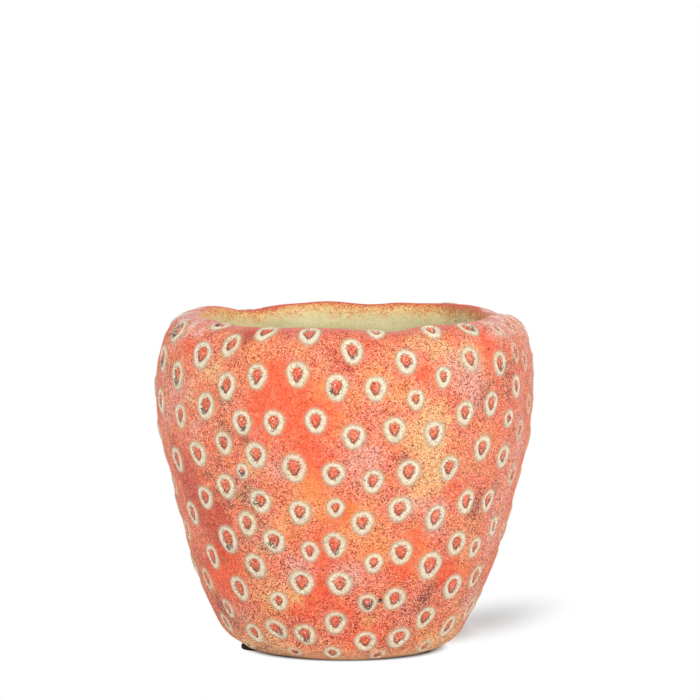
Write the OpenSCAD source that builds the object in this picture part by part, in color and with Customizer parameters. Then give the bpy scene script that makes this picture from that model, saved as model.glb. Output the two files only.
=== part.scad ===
// Strawberry-shaped planter, cast in cement, with a rubber plug in its drain hole and three foot pads.
// The origin is on the table under the middle of the pot. +Z is up and the front faces -Y.
// A turn is an angle seen from above, in degrees from the front toward the right (+X).
// A climb is a distance in mm up the outside of the wall, from the edge of the underside.

/* [Pot] */
// Greatest diameter, at the belly
belly_d = 190.4; // [182:0.2:220]
// Height of the belly above the underside
belly_h = 130; // [120:1:138]
// Diameter at the waist, part of the way up the side
waist_d = 172.4; // [164:0.2:178]
// Height of the waist above the underside
waist_h = 80; // [65:1:95]
// Diameter where the side meets the rounded bottom corner
corner_d = 125; // [118:0.2:130]
// Height of that corner above the underside
corner_h = 10; // [8:0.5:14]
// Diameter of the flat underside
foot_d = 90; // [80:1:98]
// Height from the underside to the top of the lip
pot_h = 167; // [158:1:185]

/* [Mouth and well] */
// Narrowest diameter of the mouth, just under the lip
mouth_d = 144; // [120:1:150]
// Width of the lip's roll, from the mouth to the crest
lip_w = 5; // [4:0.5:7]
// Depth of the mouth's narrowest ring below the crest
lip_drop = 8; // [6:0.5:12]
// Thickness of the wall at the belly
wall_t = 15; // [10:0.5:20]
// Diameter of the flat floor inside
floor_d = 84; // [64:1:92]
// Radius of the round between the floor and the inner wall
floor_r = 10; // [6:0.5:12]
// Thickness of the floor
floor_t = 16; // [12:0.5:24]

/* [Hand shaping] */
// Strength of the folds between the lobes (1 is as cast)
fold_scale = 1; // [0:0.1:1.5]
// Strength of the waves in the rim (1 is as cast)
wave_scale = 1; // [0:0.1:1.5]
// Depth of the flat spot low on the right side
flat_spot = 2.2; // [0:0.1:4]

/* [Seeds] */
// Width of a full-size seed rim
seed_w = 11; // [8:0.5:12]
// Height of a full-size seed rim
seed_l = 12.4; // [10:0.2:14]
// Width of the raised bead of the rim
bead_w = 2.6; // [1.6:0.1:3]
// How far a rim stands out from the wall
seed_rise = 0.7; // [0.4:0.1:1.4]
// How far a rim reaches into the wall behind it
seed_root = 2; // [1.5:0.1:3]
// How many seeds the spiral on the sides and back is drawn for
spiral_count = 244; // [120:1:260]

/* [Drain and plug] */
// Diameter of the drain hole
drain_d = 14; // [10:0.5:20]
// Diameter of the seat for the plug's head
seat_d = 26; // [23:0.5:32]
// Depth of that seat in the floor
seat_h = 3.5; // [3:0.5:6]
// Diameter of the plug's head
head_d = 22; // [20.5:0.5:22.5]
// Thickness of the plug's head
head_t = 3; // [1.5:0.5:3]
// Length of the plug's stem under its head
stem_l = 11; // [6:0.5:12]
// Gap all round between the stem and the drain hole
stem_gap = 0.05; // [0.02:0.01:0.1]

/* [Foot pads] */
// Diameter of a foot pad
pad_d = 16; // [12:1:22]
// Thickness of a foot pad
pad_t = 2; // [1.5:0.5:4]
// Distance of the back pad from the pot's middle
pad_reach = 42; // [36:1:43]

/* [Hidden] */

cement_color = [0.92, 0.44, 0.34];
seed_color = [0.9, 0.86, 0.72];
rubber_color = [0.13, 0.13, 0.13];

// Where the hand-stuck pads sit: left, right and back, and how much further out than the back one
PAD_TURNS = [-83, 70, 174];
PAD_STRAYS = [2.8, -4.7, 0];

// The folds between the seven lobes: [turn, depth into the wall, dip in the rim, half width in degrees]
FOLDS = [
    [16, 1.6, 2.2, 11], [76, 2.6, 1.0, 9], [104, 2.0, 1.8, 14], [168, 2.0, 1.3, 12],
    [221, 2.6, 3.4, 14], [262, 1.8, 1.0, 12], [319, 2.0, 1.4, 12],
];
// The rim's slow rise and fall besides the folds: to the sides, to the front, all round
wave_sides = 0.5;
wave_front = 0.5;
wave_all = 0.6;
// The flat spot's turn and half width, and the heights between which it fades out
flat_turn = 90;
flat_half = 50;
flat_low = 10;
flat_top = [22, 52];
// The folds begin this far below the belly and are full this far above it
fold_below = 30;
fold_above = 20;

// The seeds that show from the front: [turn, climb, size, degrees of lean to the left if any].
// The size is against a full-size rim.
// Climbs are given on a wall that is seed_wall long from the underside to the crest.
seed_wall = 191.7;
FRONT_SEEDS = [
    // on the lip and the shoulder
    [-66, 178, 1, -28], [-49, 188, 0.8, -40], [-27, 185, 1.05, -20], [-11.5, 183, 1], [10.5, 188, 0.9],
    [29.5, 184.5, 0.85], [44.5, 184, 0.95, 38], [57.5, 181, 0.8, 24], [72, 181, 0.9], [-49, 169, 1.1, -12],
    [-38, 175.5, 1, -24], [2, 174.5, 1], [18.5, 169.5, 1], [40, 167.5, 1, 8], [53, 164, 0.95],
    [63.5, 167.5, 0.85], [75, 162, 0.9],
    // round the belly
    [-71.5, 163.5, 1], [-60, 157.5, 1.05], [-37.5, 155.5, 1.05], [-26.5, 161, 1], [-14, 162.5, 1],
    [-2.5, 157, 1], [9, 156.5, 1], [21, 150.5, 0.8], [30, 160.5, 0.8], [62, 151.5, 0.9], [-72, 143, 1],
    [-58, 138, 1], [-45.5, 145, 1.05], [-31.5, 138.5, 1], [-21, 139.5, 1], [-8.5, 141, 1], [2.5, 133.5, 1],
    [14.5, 136.5, 1], [27, 133.5, 1], [37.5, 142.5, 0.95], [48, 145.5, 0.95], [57.5, 136.5, 0.75],
    [66.5, 129, 0.9], [77, 140, 0.9],
    // down the side
    [-65, 114.5, 1.1], [-50.5, 120.5, 1.05], [-39, 127.5, 0.95], [-27.5, 123, 1.05], [-33, 114, 0.65],
    [-15.5, 117.5, 1.15], [-3.5, 115, 1], [8.5, 110.5, 0.95], [19.5, 115, 1.05], [33.5, 115.5, 1],
    [45.5, 124, 1.05], [57.5, 117.5, 0.95], [67.5, 106, 0.95], [-76, 99, 0.9], [-51, 98, 1],
    [-40.5, 105, 1.05], [-28, 99, 1], [-14.5, 95, 1], [-3, 97.5, 0.8], [5.5, 89.5, 1], [17.5, 96, 1.05],
    [30.5, 90.5, 1.05], [42.5, 97, 1], [54, 95.5, 0.95], [-73, 76, 0.9], [-62.5, 87, 1.05, 10],
    [-44, 77, 1.15], [-34, 87, 1], [-24.5, 79, 1], [-12, 74.5, 0.85], [-3.5, 78, 1.05], [10, 68.5, 0.85],
    [19.5, 73.5, 1.05], [31.5, 65, 1.2], [41.5, 75.5, 1], [51.5, 71.5, 0.85], [62, 80.5, 0.8, -8],
    [74, 75, 0.9],
    // toward the bottom
    [-67, 51, 1.05], [-55.5, 65.5, 1.05], [-44, 50.5, 1.05, 10], [-33.5, 65, 1.05, 12], [-26, 46.5, 0.85],
    [-16, 57.5, 1.1], [-2, 57.5, 1.05], [8.5, 46.5, 0.85], [19, 48.5, 1, -8], [35, 35.5, 1, -8],
    [45, 51.5, 1.1], [58.5, 54.5, 1, -10], [67, 35, 1], [-66, 26.5, 0.95, 16], [-56.5, 37, 0.9],
    [-43.5, 25.5, 0.9, 18], [-30.5, 30, 1, 30], [-17.5, 27.5, 1, 14], [-4, 35.5, 1], [9, 24, 1],
    [24, 25.5, 1.05, -14], [52, 28, 1, -22], [-53, 16, 0.7], [-25, 14.5, 0.75], [-6, 16.5, 0.8],
    [16, 13.5, 0.8], [41, 17, 0.8],
];
// The spiral fills the wall outside this turn, between these climbs, this clear of the seeds above
spiral_from = 78;
spiral_low = 13;
spiral_high = 187;
spiral_clear = 12.6;
golden_turn = 137.508;
// How far the spiral strays: turns, climbs, sizes and leans
stray_turn = 2.2;
stray_climb = 1.8;
stray_size = 0.1;
stray_lean = 10;
side_size = 0.97;
// How blunt the points of a seed's rim and of its hole are (1 is round)
rim_tip = 0.75;
hole_tip = 0.5;
// A seed's flat sides stop this share of the way out to its two circles' common tangents
tangent_share = 0.99;
// How far up and down a rim its chord reaches, as a share of the rim's height
chord_share = 0.35;

// How finely the wall is drawn: sectors round the pot, steps along each curve, and round parts
sectors = 72;
curve_steps = 5;
$fn = 64;

belly_r = belly_d / 2;
corner_r = corner_d / 2;
foot_r = foot_d / 2;
mouth_r = mouth_d / 2;
crest_r = mouth_r + lip_w;
floor_in_r = floor_d / 2;
// The side's lean at the corner and the waist, and how far below the belly the inner wall is widest
lean_corner = 28;
lean_waist = 13;
neck_drop = 12;
// How full the curves are: the bottom corner's two ends, the shoulder's two ends, the lip's two ends
corner_pull = [0.2, 0.8];
shoulder_pull = [0.54, 0.88];
lip_pull = [0.55, 0.6];
// How far down inside the folds and waves fade out, in lip drops
fade_drops = 5;
// How far each cut runs past the face it opens
cut = 1;

function lean(a) = [sin(a), cos(a)];
function smooth(a, b, x) = let (t = min(1, max(0, (x - a) / (b - a)))) t * t * (3 - 2 * t);
function off_turn(t, at) = let (d = (t - at) % 360) d > 180 ? d - 360 : d < -180 ? d + 360 : d;
function bump(t, at, half) = exp(-pow(off_turn(t, at) / half, 2));
function total(v, i = 0) = i < len(v) ? v[i] + total(v, i + 1) : 0;
function running(v, i = 0, sum = 0) = i < len(v) ? concat([sum], running(v, i + 1, sum + v[i])) : [sum];

// Points of a curve from a to d that leaves along u and arrives along v, without its last point
function curve(a, u, v, d, steps = curve_steps) = [
    for (i = [0 : steps - 1])
        let (t = i / steps, k = 1 - t)
        k * k * k * a + 3 * k * k * t * (a + u) + 3 * k * t * t * (d - v) + t * t * t * d
];
function third(a, b) = norm(b - a) / 3;

// The outline as [radius, height above the underside]: up the outside, over the lip, down the inside
foot_at = [foot_r, 0];
corner_at = [corner_r, corner_h];
waist_at = [waist_d / 2, waist_h];
belly_at = [belly_r, belly_h];
crest_at = [crest_r, pot_h];
mouth_at = [mouth_r, pot_h - lip_drop];
hollow_at = [belly_r - wall_t, belly_h - neck_drop];
well_at = [floor_in_r + floor_r, floor_t + floor_r];
floor_at = [floor_in_r, floor_t];
shoulder_h = pot_h - belly_h;

outside = concat(
    curve(foot_at, [corner_pull[0] * (corner_r - foot_r), 0],
        corner_pull[1] * corner_h * lean(lean_corner), corner_at),
    curve(corner_at, third(corner_at, waist_at) * lean(lean_corner),
        third(corner_at, waist_at) * lean(lean_waist), waist_at),
    curve(waist_at, third(waist_at, belly_at) * lean(lean_waist),
        [0, third(waist_at, belly_at)], belly_at),
    curve(belly_at, [0, shoulder_pull[0] * shoulder_h], [-shoulder_pull[1] * (belly_r - crest_r), 0],
        crest_at, curve_steps + 2),
    [crest_at]
);
inside = concat(
    curve(crest_at, [-lip_pull[0] * lip_w, 0], [0, -lip_pull[1] * lip_drop], mouth_at, 3),
    curve(mouth_at, [0, -third(mouth_at, hollow_at)], [0, -third(mouth_at, hollow_at)], hollow_at, 3),
    curve(hollow_at, [0, -third(hollow_at, well_at)], third(hollow_at, well_at) * -lean(lean_corner),
        well_at, 4),
    [for (i = [0 : 3]) let (a = 90 * i / 3) floor_at + floor_r * [cos(a), 1 - sin(a)]]
);

// Climbs along the outside, and the wall's area up to each of them, for placing the seeds
climbs = running([for (i = [1 : len(outside) - 1]) norm(outside[i] - outside[i - 1])]);
wall_length = climbs[len(climbs) - 1];
RADIUS_AT = [for (i = [0 : len(outside) - 1]) [climbs[i], outside[i][0]]];
HEIGHT_AT = [for (i = [0 : len(outside) - 1]) [climbs[i], outside[i][1]]];
areas = running([
    for (i = [1 : len(outside) - 1]) (climbs[i] - climbs[i - 1]) * (outside[i][0] + outside[i - 1][0]) / 2
]);
wall_area = areas[len(areas) - 1];
CLIMB_AT = [for (i = [0 : len(areas) - 1]) [areas[i] / wall_area, climbs[i]]];

// Hand shaping of the wall at a turn: how deep the folds and the flat spot are, and how the rim rises
function folds(t) = fold_scale * total([for (f = FOLDS) f[1] * bump(t, f[0], f[3])]);
function flat(t, h) = flat_spot * bump(t, flat_turn, flat_half)
    * smooth(0, flat_low, h) * (1 - smooth(flat_top[0], flat_top[1], h));
function wave(t) = wave_scale * (wave_all + wave_front * cos(t) - wave_sides * cos(2 * t)
    - total([for (f = FOLDS) f[2] * bump(t, f[0], f[3])]));

function outside_point(t, p) = let (
    fold = folds(t) * smooth(belly_h - fold_below, belly_h + fold_above, p[1]),
    r = p[0] - fold - flat(t, p[1]),
    z = pad_t + p[1] + wave(t) * smooth(belly_h, pot_h, p[1])
) [r * sin(t), -r * cos(t), z];
function inside_point(t, p) = let (
    share = smooth(pot_h - fade_drops * lip_drop, pot_h, p[1]),
    r = p[0] - folds(t) * share,
    z = pad_t + p[1] + wave(t) * share
) [r * sin(t), -r * cos(t), z];

// The golden-angle spiral that the seeds of a real berry follow, slightly uneven, without the front's share
function uneven(i, k) = sin(i * k);
function spiral_seed(i) = [
    off_turn(i * golden_turn, 0) + stray_turn * uneven(i, 97),
    lookup((i + 0.5) / spiral_count, CLIMB_AT) + stray_climb * uneven(i, 151),
    side_size + stray_size * uneven(i, 61),
    stray_lean * uneven(i, 43)
];
function apart(a, b) = let (r = lookup(b[1], RADIUS_AT))
    norm([off_turn(a[0], b[0]) * r * PI / 180, a[1] - b[1]]);
front_seeds = [
    for (s = FRONT_SEEDS) [s[0], s[1] * wall_length / seed_wall, s[2], len(s) > 3 ? s[3] : 0]
];
side_seeds = [
    for (i = [0 : spiral_count - 1])
        let (s = spiral_seed(i))
        if (abs(s[0]) > spiral_from && s[1] > spiral_low && s[1] < spiral_high
            && min([for (f = front_seeds) apart(f, s)]) > spiral_clear) s
];

// A teardrop with its point down: a large circle and a small one, joined just inside their tangents.
// The small one's radius is the given share of the large one's
module teardrop(w, l, tip) {
    big = w / 2;
    small = tip * big;
    drop = l - big - small;
    slope = (big - small) / drop;
    side = tangent_share * [sqrt(1 - slope * slope), -slope];
    translate([0, l / 2 - big]) {
        circle(big);
        translate([0, -drop]) circle(small);
        polygon([
            big * side, small * side - [0, drop],
            [-small * side[0], small * side[1] - drop], [-big * side[0], big * side[1]]
        ]);
    }
}

// A raised rim round one seed. It lies along the chord between two climbs, so its back is in the wall
module seed_rim(t, climb, size, lean_left) {
    reach = chord_share * size * seed_l;
    low = [lookup(climb - reach, RADIUS_AT), lookup(climb - reach, HEIGHT_AT)];
    high = [lookup(climb + reach, RADIUS_AT), lookup(climb + reach, HEIGHT_AT)];
    way = high - low;
    translate(outside_point(t, (low + high) / 2)) rotate([0, 0, t])
        rotate([90 + atan2(way[0], way[1]), 0, 0]) rotate([0, 0, lean_left])
            translate([0, 0, -seed_root]) linear_extrude(seed_root + seed_rise) difference() {
                teardrop(size * seed_w, size * seed_l, rim_tip);
                teardrop(size * seed_w - 2 * bead_w, size * seed_l - 2 * bead_w, hole_tip);
            }
}

// The cast wall as rings of points, closed by a flat underside and a flat floor
module cast_wall() {
    rings = concat(
        [for (p = outside) [for (k = [0 : sectors - 1]) outside_point(k * 360 / sectors, p)]],
        [for (i = [1 : len(inside) - 1])
            [for (k = [0 : sectors - 1]) inside_point(k * 360 / sectors, inside[i])]]
    );
    last = len(rings) - 1;
    points = [for (ring = rings) each ring];
    function at(i, k) = i * sectors + k % sectors;
    sides = [
        for (i = [0 : last - 1], k = [0 : sectors - 1])
            each [[at(i, k), at(i + 1, k), at(i + 1, k + 1)], [at(i, k), at(i + 1, k + 1), at(i, k + 1)]]
    ];
    underside = [for (k = [0 : sectors - 1]) at(0, k)];
    floor_face = [for (k = [sectors - 1 : -1 : 0]) at(last, k)];
    polyhedron(points, concat([underside], sides, [floor_face]));
}

// The pot's casting: its lobed wall and lip, its well, and its drain with the seat for the plug
module pot_shell() {
    color(cement_color) difference() {
        cast_wall();
        translate([0, 0, pad_t - cut]) cylinder(h = floor_t + 2 * cut, d = drain_d);
        translate([0, 0, pad_t + floor_t - seat_h]) cylinder(h = seat_h + cut, d = seat_d);
    }
}

// The worn cream rims of all the seeds, which are cast with the wall
module seed_rims() {
    color(seed_color) for (s = concat(front_seeds, side_seeds)) seed_rim(s[0], s[1], s[2], s[3]);
}

// The rubber plug: a round head that lies in its seat and a stem that fills the drain
module drain_plug() {
    seat_z = pad_t + floor_t - seat_h;
    color(rubber_color) {
        translate([0, 0, seat_z]) cylinder(h = head_t, d = head_d);
        translate([0, 0, seat_z - stem_l]) cylinder(h = stem_l, d = drain_d - 2 * stem_gap);
    }
}

// One self-adhesive pad under the pot
module foot_pad(i) {
    color(rubber_color) rotate([0, 0, PAD_TURNS[i]]) translate([0, -pad_reach - PAD_STRAYS[i], 0])
        cylinder(h = pad_t, d = pad_d);
}
module foot_pad_left() { foot_pad(0); }
module foot_pad_right() { foot_pad(1); }
module foot_pad_back() { foot_pad(2); }

pot_shell();
seed_rims();
drain_plug();
foot_pad_left();
foot_pad_right();
foot_pad_back();
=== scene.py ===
"""Strawberry-shaped planter of cast and painted cement, with its seeds, drain plug and foot pads."""

import math

import bpy
import numpy as np
from bpy.props import FloatProperty, FloatVectorProperty, IntProperty, PointerProperty
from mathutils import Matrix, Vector
from mathutils.geometry import delaunay_2d_cdt


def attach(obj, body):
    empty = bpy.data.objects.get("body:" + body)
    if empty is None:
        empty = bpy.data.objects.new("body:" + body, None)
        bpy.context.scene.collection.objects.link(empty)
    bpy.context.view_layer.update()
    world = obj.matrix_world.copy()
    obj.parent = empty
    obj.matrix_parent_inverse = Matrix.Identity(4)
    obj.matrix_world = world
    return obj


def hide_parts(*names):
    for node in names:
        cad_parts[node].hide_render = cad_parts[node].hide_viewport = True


bl_info = {
    "name": "Strawberry planter",
    "version": (1, 0, 0),
    "blender": (4, 5, 0),
    "location": "3D View > Sidebar > Planter",
    "description": "Builds a strawberry-shaped cement planter round its solid model",
    "category": "Add Mesh",
}

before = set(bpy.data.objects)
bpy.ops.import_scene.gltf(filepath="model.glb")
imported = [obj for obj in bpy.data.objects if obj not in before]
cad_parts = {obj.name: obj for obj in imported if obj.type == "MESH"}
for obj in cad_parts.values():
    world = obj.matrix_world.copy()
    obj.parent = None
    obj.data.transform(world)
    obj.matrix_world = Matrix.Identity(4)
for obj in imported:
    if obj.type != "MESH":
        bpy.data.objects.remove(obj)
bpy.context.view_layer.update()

MM = 0.001

# ---------------------------------------------------------------- what the hands left on this pot
# Turns are degrees from the front toward +X. Climbs are mm up the outside from the underside's edge.

# The folds between the seven lobes: turn, depth into the wall, dip in the rim, half width in degrees
FOLDS = (
    (16, 1.6, 2.2, 11), (76, 2.6, 1.0, 9), (104, 2.0, 1.8, 14), (168, 2.0, 1.3, 12),
    (221, 2.6, 3.4, 14), (262, 1.8, 1.0, 12), (319, 2.0, 1.4, 12),
)
# The rim's slow rise and fall besides the folds, in mm: all round, to the front, to the sides
WAVE_ALL, WAVE_FRONT, WAVE_SIDES = 0.6, 0.5, 0.5
# The flat spot's middle and half width in degrees, and the heights between which it comes and goes
FLAT_TURN, FLAT_HALF, FLAT_LOW, FLAT_TOP = 90, 50, 10, (22, 52)
FOLD_BELOW, FOLD_ABOVE = 30, 20  # the folds deepen from this far below the belly to this far above
LEAN_CORNER, LEAN_WAIST = 28, 13  # how far the wall leans out there, in degrees
NECK_DROP = 12  # the well is widest this far under the belly
# How far the outline follows its line at the end of a curve, as a share of the curve's width or height
FOOT_PULL, CORNER_PULL, BELLY_PULL, CREST_PULL, LIP_PULL, MOUTH_PULL = 0.2, 0.8, 0.54, 0.88, 0.55, 0.6
# The wall's unevenness, the well's and its floor's: where its random draws start, length and height in mm
LUMPS, WELL_LUMPS, FLOOR_LUMPS = ((5, 34, 0.3), (6, 13, 0.1)), (8, 30, 0.5), (9, 22, 0.25)

# The seeds that show from the front: turn, climb, size, and degrees of lean to the left if any
SEED_WALL = 191.7  # the length of the wall that these climbs are given on
FRONT_SEEDS = (
    # on the lip and the shoulder
    (-66, 178, 1, -28), (-49, 188, 0.8, -40), (-27, 185, 1.05, -20), (-11.5, 183, 1), (10.5, 188, 0.9),
    (29.5, 184.5, 0.85), (44.5, 184, 0.95, 38), (57.5, 181, 0.8, 24), (72, 181, 0.9), (-49, 169, 1.1, -12),
    (-38, 175.5, 1, -24), (2, 174.5, 1), (18.5, 169.5, 1), (40, 167.5, 1, 8), (53, 164, 0.95),
    (63.5, 167.5, 0.85), (75, 162, 0.9),
    # round the belly
    (-71.5, 163.5, 1), (-60, 157.5, 1.05), (-37.5, 155.5, 1.05), (-26.5, 161, 1), (-14, 162.5, 1),
    (-2.5, 157, 1), (9, 156.5, 1), (21, 150.5, 0.8), (30, 160.5, 0.8), (62, 151.5, 0.9), (-72, 143, 1),
    (-58, 138, 1), (-45.5, 145, 1.05), (-31.5, 138.5, 1), (-21, 139.5, 1), (-8.5, 141, 1), (2.5, 133.5, 1),
    (14.5, 136.5, 1), (27, 133.5, 1), (37.5, 142.5, 0.95), (48, 145.5, 0.95), (57.5, 136.5, 0.75),
    (66.5, 129, 0.9), (77, 140, 0.9),
    # down the side
    (-65, 114.5, 1.1), (-50.5, 120.5, 1.05), (-39, 127.5, 0.95), (-27.5, 123, 1.05), (-33, 114, 0.65),
    (-15.5, 117.5, 1.15), (-3.5, 115, 1), (8.5, 110.5, 0.95), (19.5, 115, 1.05), (33.5, 115.5, 1),
    (45.5, 124, 1.05), (57.5, 117.5, 0.95), (67.5, 106, 0.95), (-76, 99, 0.9), (-51, 98, 1), (-40.5, 105, 1.05),
    (-28, 99, 1), (-14.5, 95, 1), (-3, 97.5, 0.8), (5.5, 89.5, 1), (17.5, 96, 1.05), (30.5, 90.5, 1.05),
    (42.5, 97, 1), (54, 95.5, 0.95), (-73, 76, 0.9), (-62.5, 87, 1.05, 10), (-44, 77, 1.15), (-34, 87, 1),
    (-24.5, 79, 1), (-12, 74.5, 0.85), (-3.5, 78, 1.05), (10, 68.5, 0.85), (19.5, 73.5, 1.05), (31.5, 65, 1.2),
    (41.5, 75.5, 1), (51.5, 71.5, 0.85), (62, 80.5, 0.8, -8), (74, 75, 0.9),
    # toward the bottom
    (-67, 51, 1.05), (-55.5, 65.5, 1.05), (-44, 50.5, 1.05, 10), (-33.5, 65, 1.05, 12), (-26, 46.5, 0.85),
    (-16, 57.5, 1.1), (-2, 57.5, 1.05), (8.5, 46.5, 0.85), (19, 48.5, 1, -8), (35, 35.5, 1, -8),
    (45, 51.5, 1.1), (58.5, 54.5, 1, -10), (67, 35, 1), (-66, 26.5, 0.95, 16), (-56.5, 37, 0.9),
    (-43.5, 25.5, 0.9, 18), (-30.5, 30, 1, 30), (-17.5, 27.5, 1, 14), (-4, 35.5, 1), (9, 24, 1),
    (24, 25.5, 1.05, -14), (52, 28, 1, -22), (-53, 16, 0.7), (-25, 14.5, 0.75), (-6, 16.5, 0.8),
    (16, 13.5, 0.8), (41, 17, 0.8),
)
# The others: from which turn, between which climbs, and how far from the front's own
SPIRAL_FROM, SPIRAL_LOW, SPIRAL_HIGH, SPIRAL_CLEAR, GOLDEN_TURN = 78, 13, 187, 12.6, 137.508
STRAY_TURN, STRAY_CLIMB, STRAY_SIZE, STRAY_LEAN, SIDE_SIZE = 2.2, 1.8, 0.1, 10, 0.97
RIM_TIP, HOLE_TIP = 0.75, 0.5  # how blunt the points of a rim and of its hole are
RIM_WAVES = ((1, 0.04), (2, 0.05), (3, 0.02), (5, 0.012))  # waves round a rim, and the most of each
RISE_SPREAD = (0.88, 1.12)  # how far the rims' heights differ
SEED_REACH = 13  # how far from a seed's middle its points are looked for
OWN_LEAN = (-6, 6)  # the range of degrees for a front seed with no lean of its own
INKED_SHARE = 0.22  # of the side seeds that hold some dirt
# The middle and spread of the way it lies, then the ranges of its half spread and its strength
INK_WAY, INK_SPREAD, INK_STRENGTH = (-95, 45), (20, 80), (0.5, 1.2)
SIDE_WASH = 0.4  # the most that the wash hides of a side seed's rim
SEED_DRAWS, WASH_DRAWS = 11, 23  # where the random draws start for the seeds and for the washes

# Dirt left in the rims of some seeds: the way it lies (0 right, 90 up), its half spread, its strength
INKED = {
    (-66, 178): (-120, 100, 1.0), (-71.5, 163.5): (-95, 80, 1.0), (-60, 157.5): (-85, 55, 1.2),
    (-2.5, 157): (-135, 45, 1.2), (-31.5, 138.5): (-75, 50, 0.9), (2, 174.5): (-60, 50, 0.7),
    (-28, 99): (-160, 22, 1.2), (-24.5, 79): (-125, 45, 1.0), (-44, 77): (-75, 45, 1.3),
    (-55.5, 65.5): (-35, 20, 1.1), (-4, 35.5): (40, 22, 1.0), (8.5, 46.5): (-90, 150, 0.9),
    (-33, 114): (-90, 110, 0.9), (-45.5, 145): (-110, 45, 0.7), (-37.5, 155.5): (-150, 30, 0.7),
    (-30.5, 30): (-50, 60, 1.0), (-17.5, 27.5): (-100, 30, 0.8), (-49, 188): (-90, 120, 0.8),
    (44.5, 184): (-70, 60, 0.8), (-3.5, 78): (-80, 35, 0.8), (53, 164): (-70, 40, 0.7),
    (-49, 169): (-20, 25, 0.7), (-26.5, 161): (-90, 22, 0.5), (-21, 139.5): (-95, 30, 0.6),
    (14.5, 136.5): (-80, 22, 0.5), (18.5, 169.5): (-30, 18, 0.6), (-62.5, 87): (-80, 30, 0.4),
}

# Painted highlights, small white spots in some holes: turn, climb, radius in mm
GLINTS = (
    (-2.9, 158.2, 0.6), (-21.2, 141.4, 0.6), (-31.8, 140.2, 0.5), (29.8, 185, 0.6), (10.9, 188.2, 0.6),
    (-10.8, 164.6, 0.4), (15, 138.2, 0.4),
)

# Seeds whose rim is washed over, and how much of it still shows
WASHED = {
    (40, 167.5): 0.75, (63.5, 167.5): 0.55, (66.5, 129): 0.6, (67.5, 106): 0.6, (58.5, 54.5): 0.85,
    (67, 35): 0.6, (-67, 51): 0.7, (-15.5, 117.5): 0.9, (72, 181): 0.5, (-56.5, 37): 0.9, (57.5, 181): 0.6,
    (-73, 76): 0.6, (-76, 99): 0.6, (77, 140): 0.6, (75, 162): 0.6, (74, 75): 0.5, (41, 17): 0.7,
    (16, 13.5): 0.75, (-53, 16): 0.6, (-25, 14.5): 0.7,
}

# Side seeds that the wash all but hides: about where, how near that is, and how much of a rim still shows
FAINT, FAINT_TURN, FAINT_CLIMB, FAINT_WASH = ((86.5, 180.7), (94.5, 173.2)), 2, 3, 0.2

# Air holes left by the casting: turn, climb, radius in mm
AIR_HOLES = (
    (12, 88, 0.5), (7, 74.5, 0.45), (13.5, 47.5, 1.1), (46, 104.5, 0.5), (6, 111.5, 0.5), (41, 47, 0.5),
    (49, 171.5, 0.6), (-20, 70, 0.4), (-21.5, 47.5, 0.4), (28, 83, 0.4), (-54, 172, 0.4), (32, 100, 0.4),
    (110, 90, 0.6), (143, 132, 0.5), (-164, 60, 0.6), (-122, 118, 0.5), (-98, 40, 0.5), (170, 155, 0.5),
    (-140, 165, 0.4), (95, 60, 0.5), (-107, 141, 0.4), (155, 45, 0.6),
)

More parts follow.
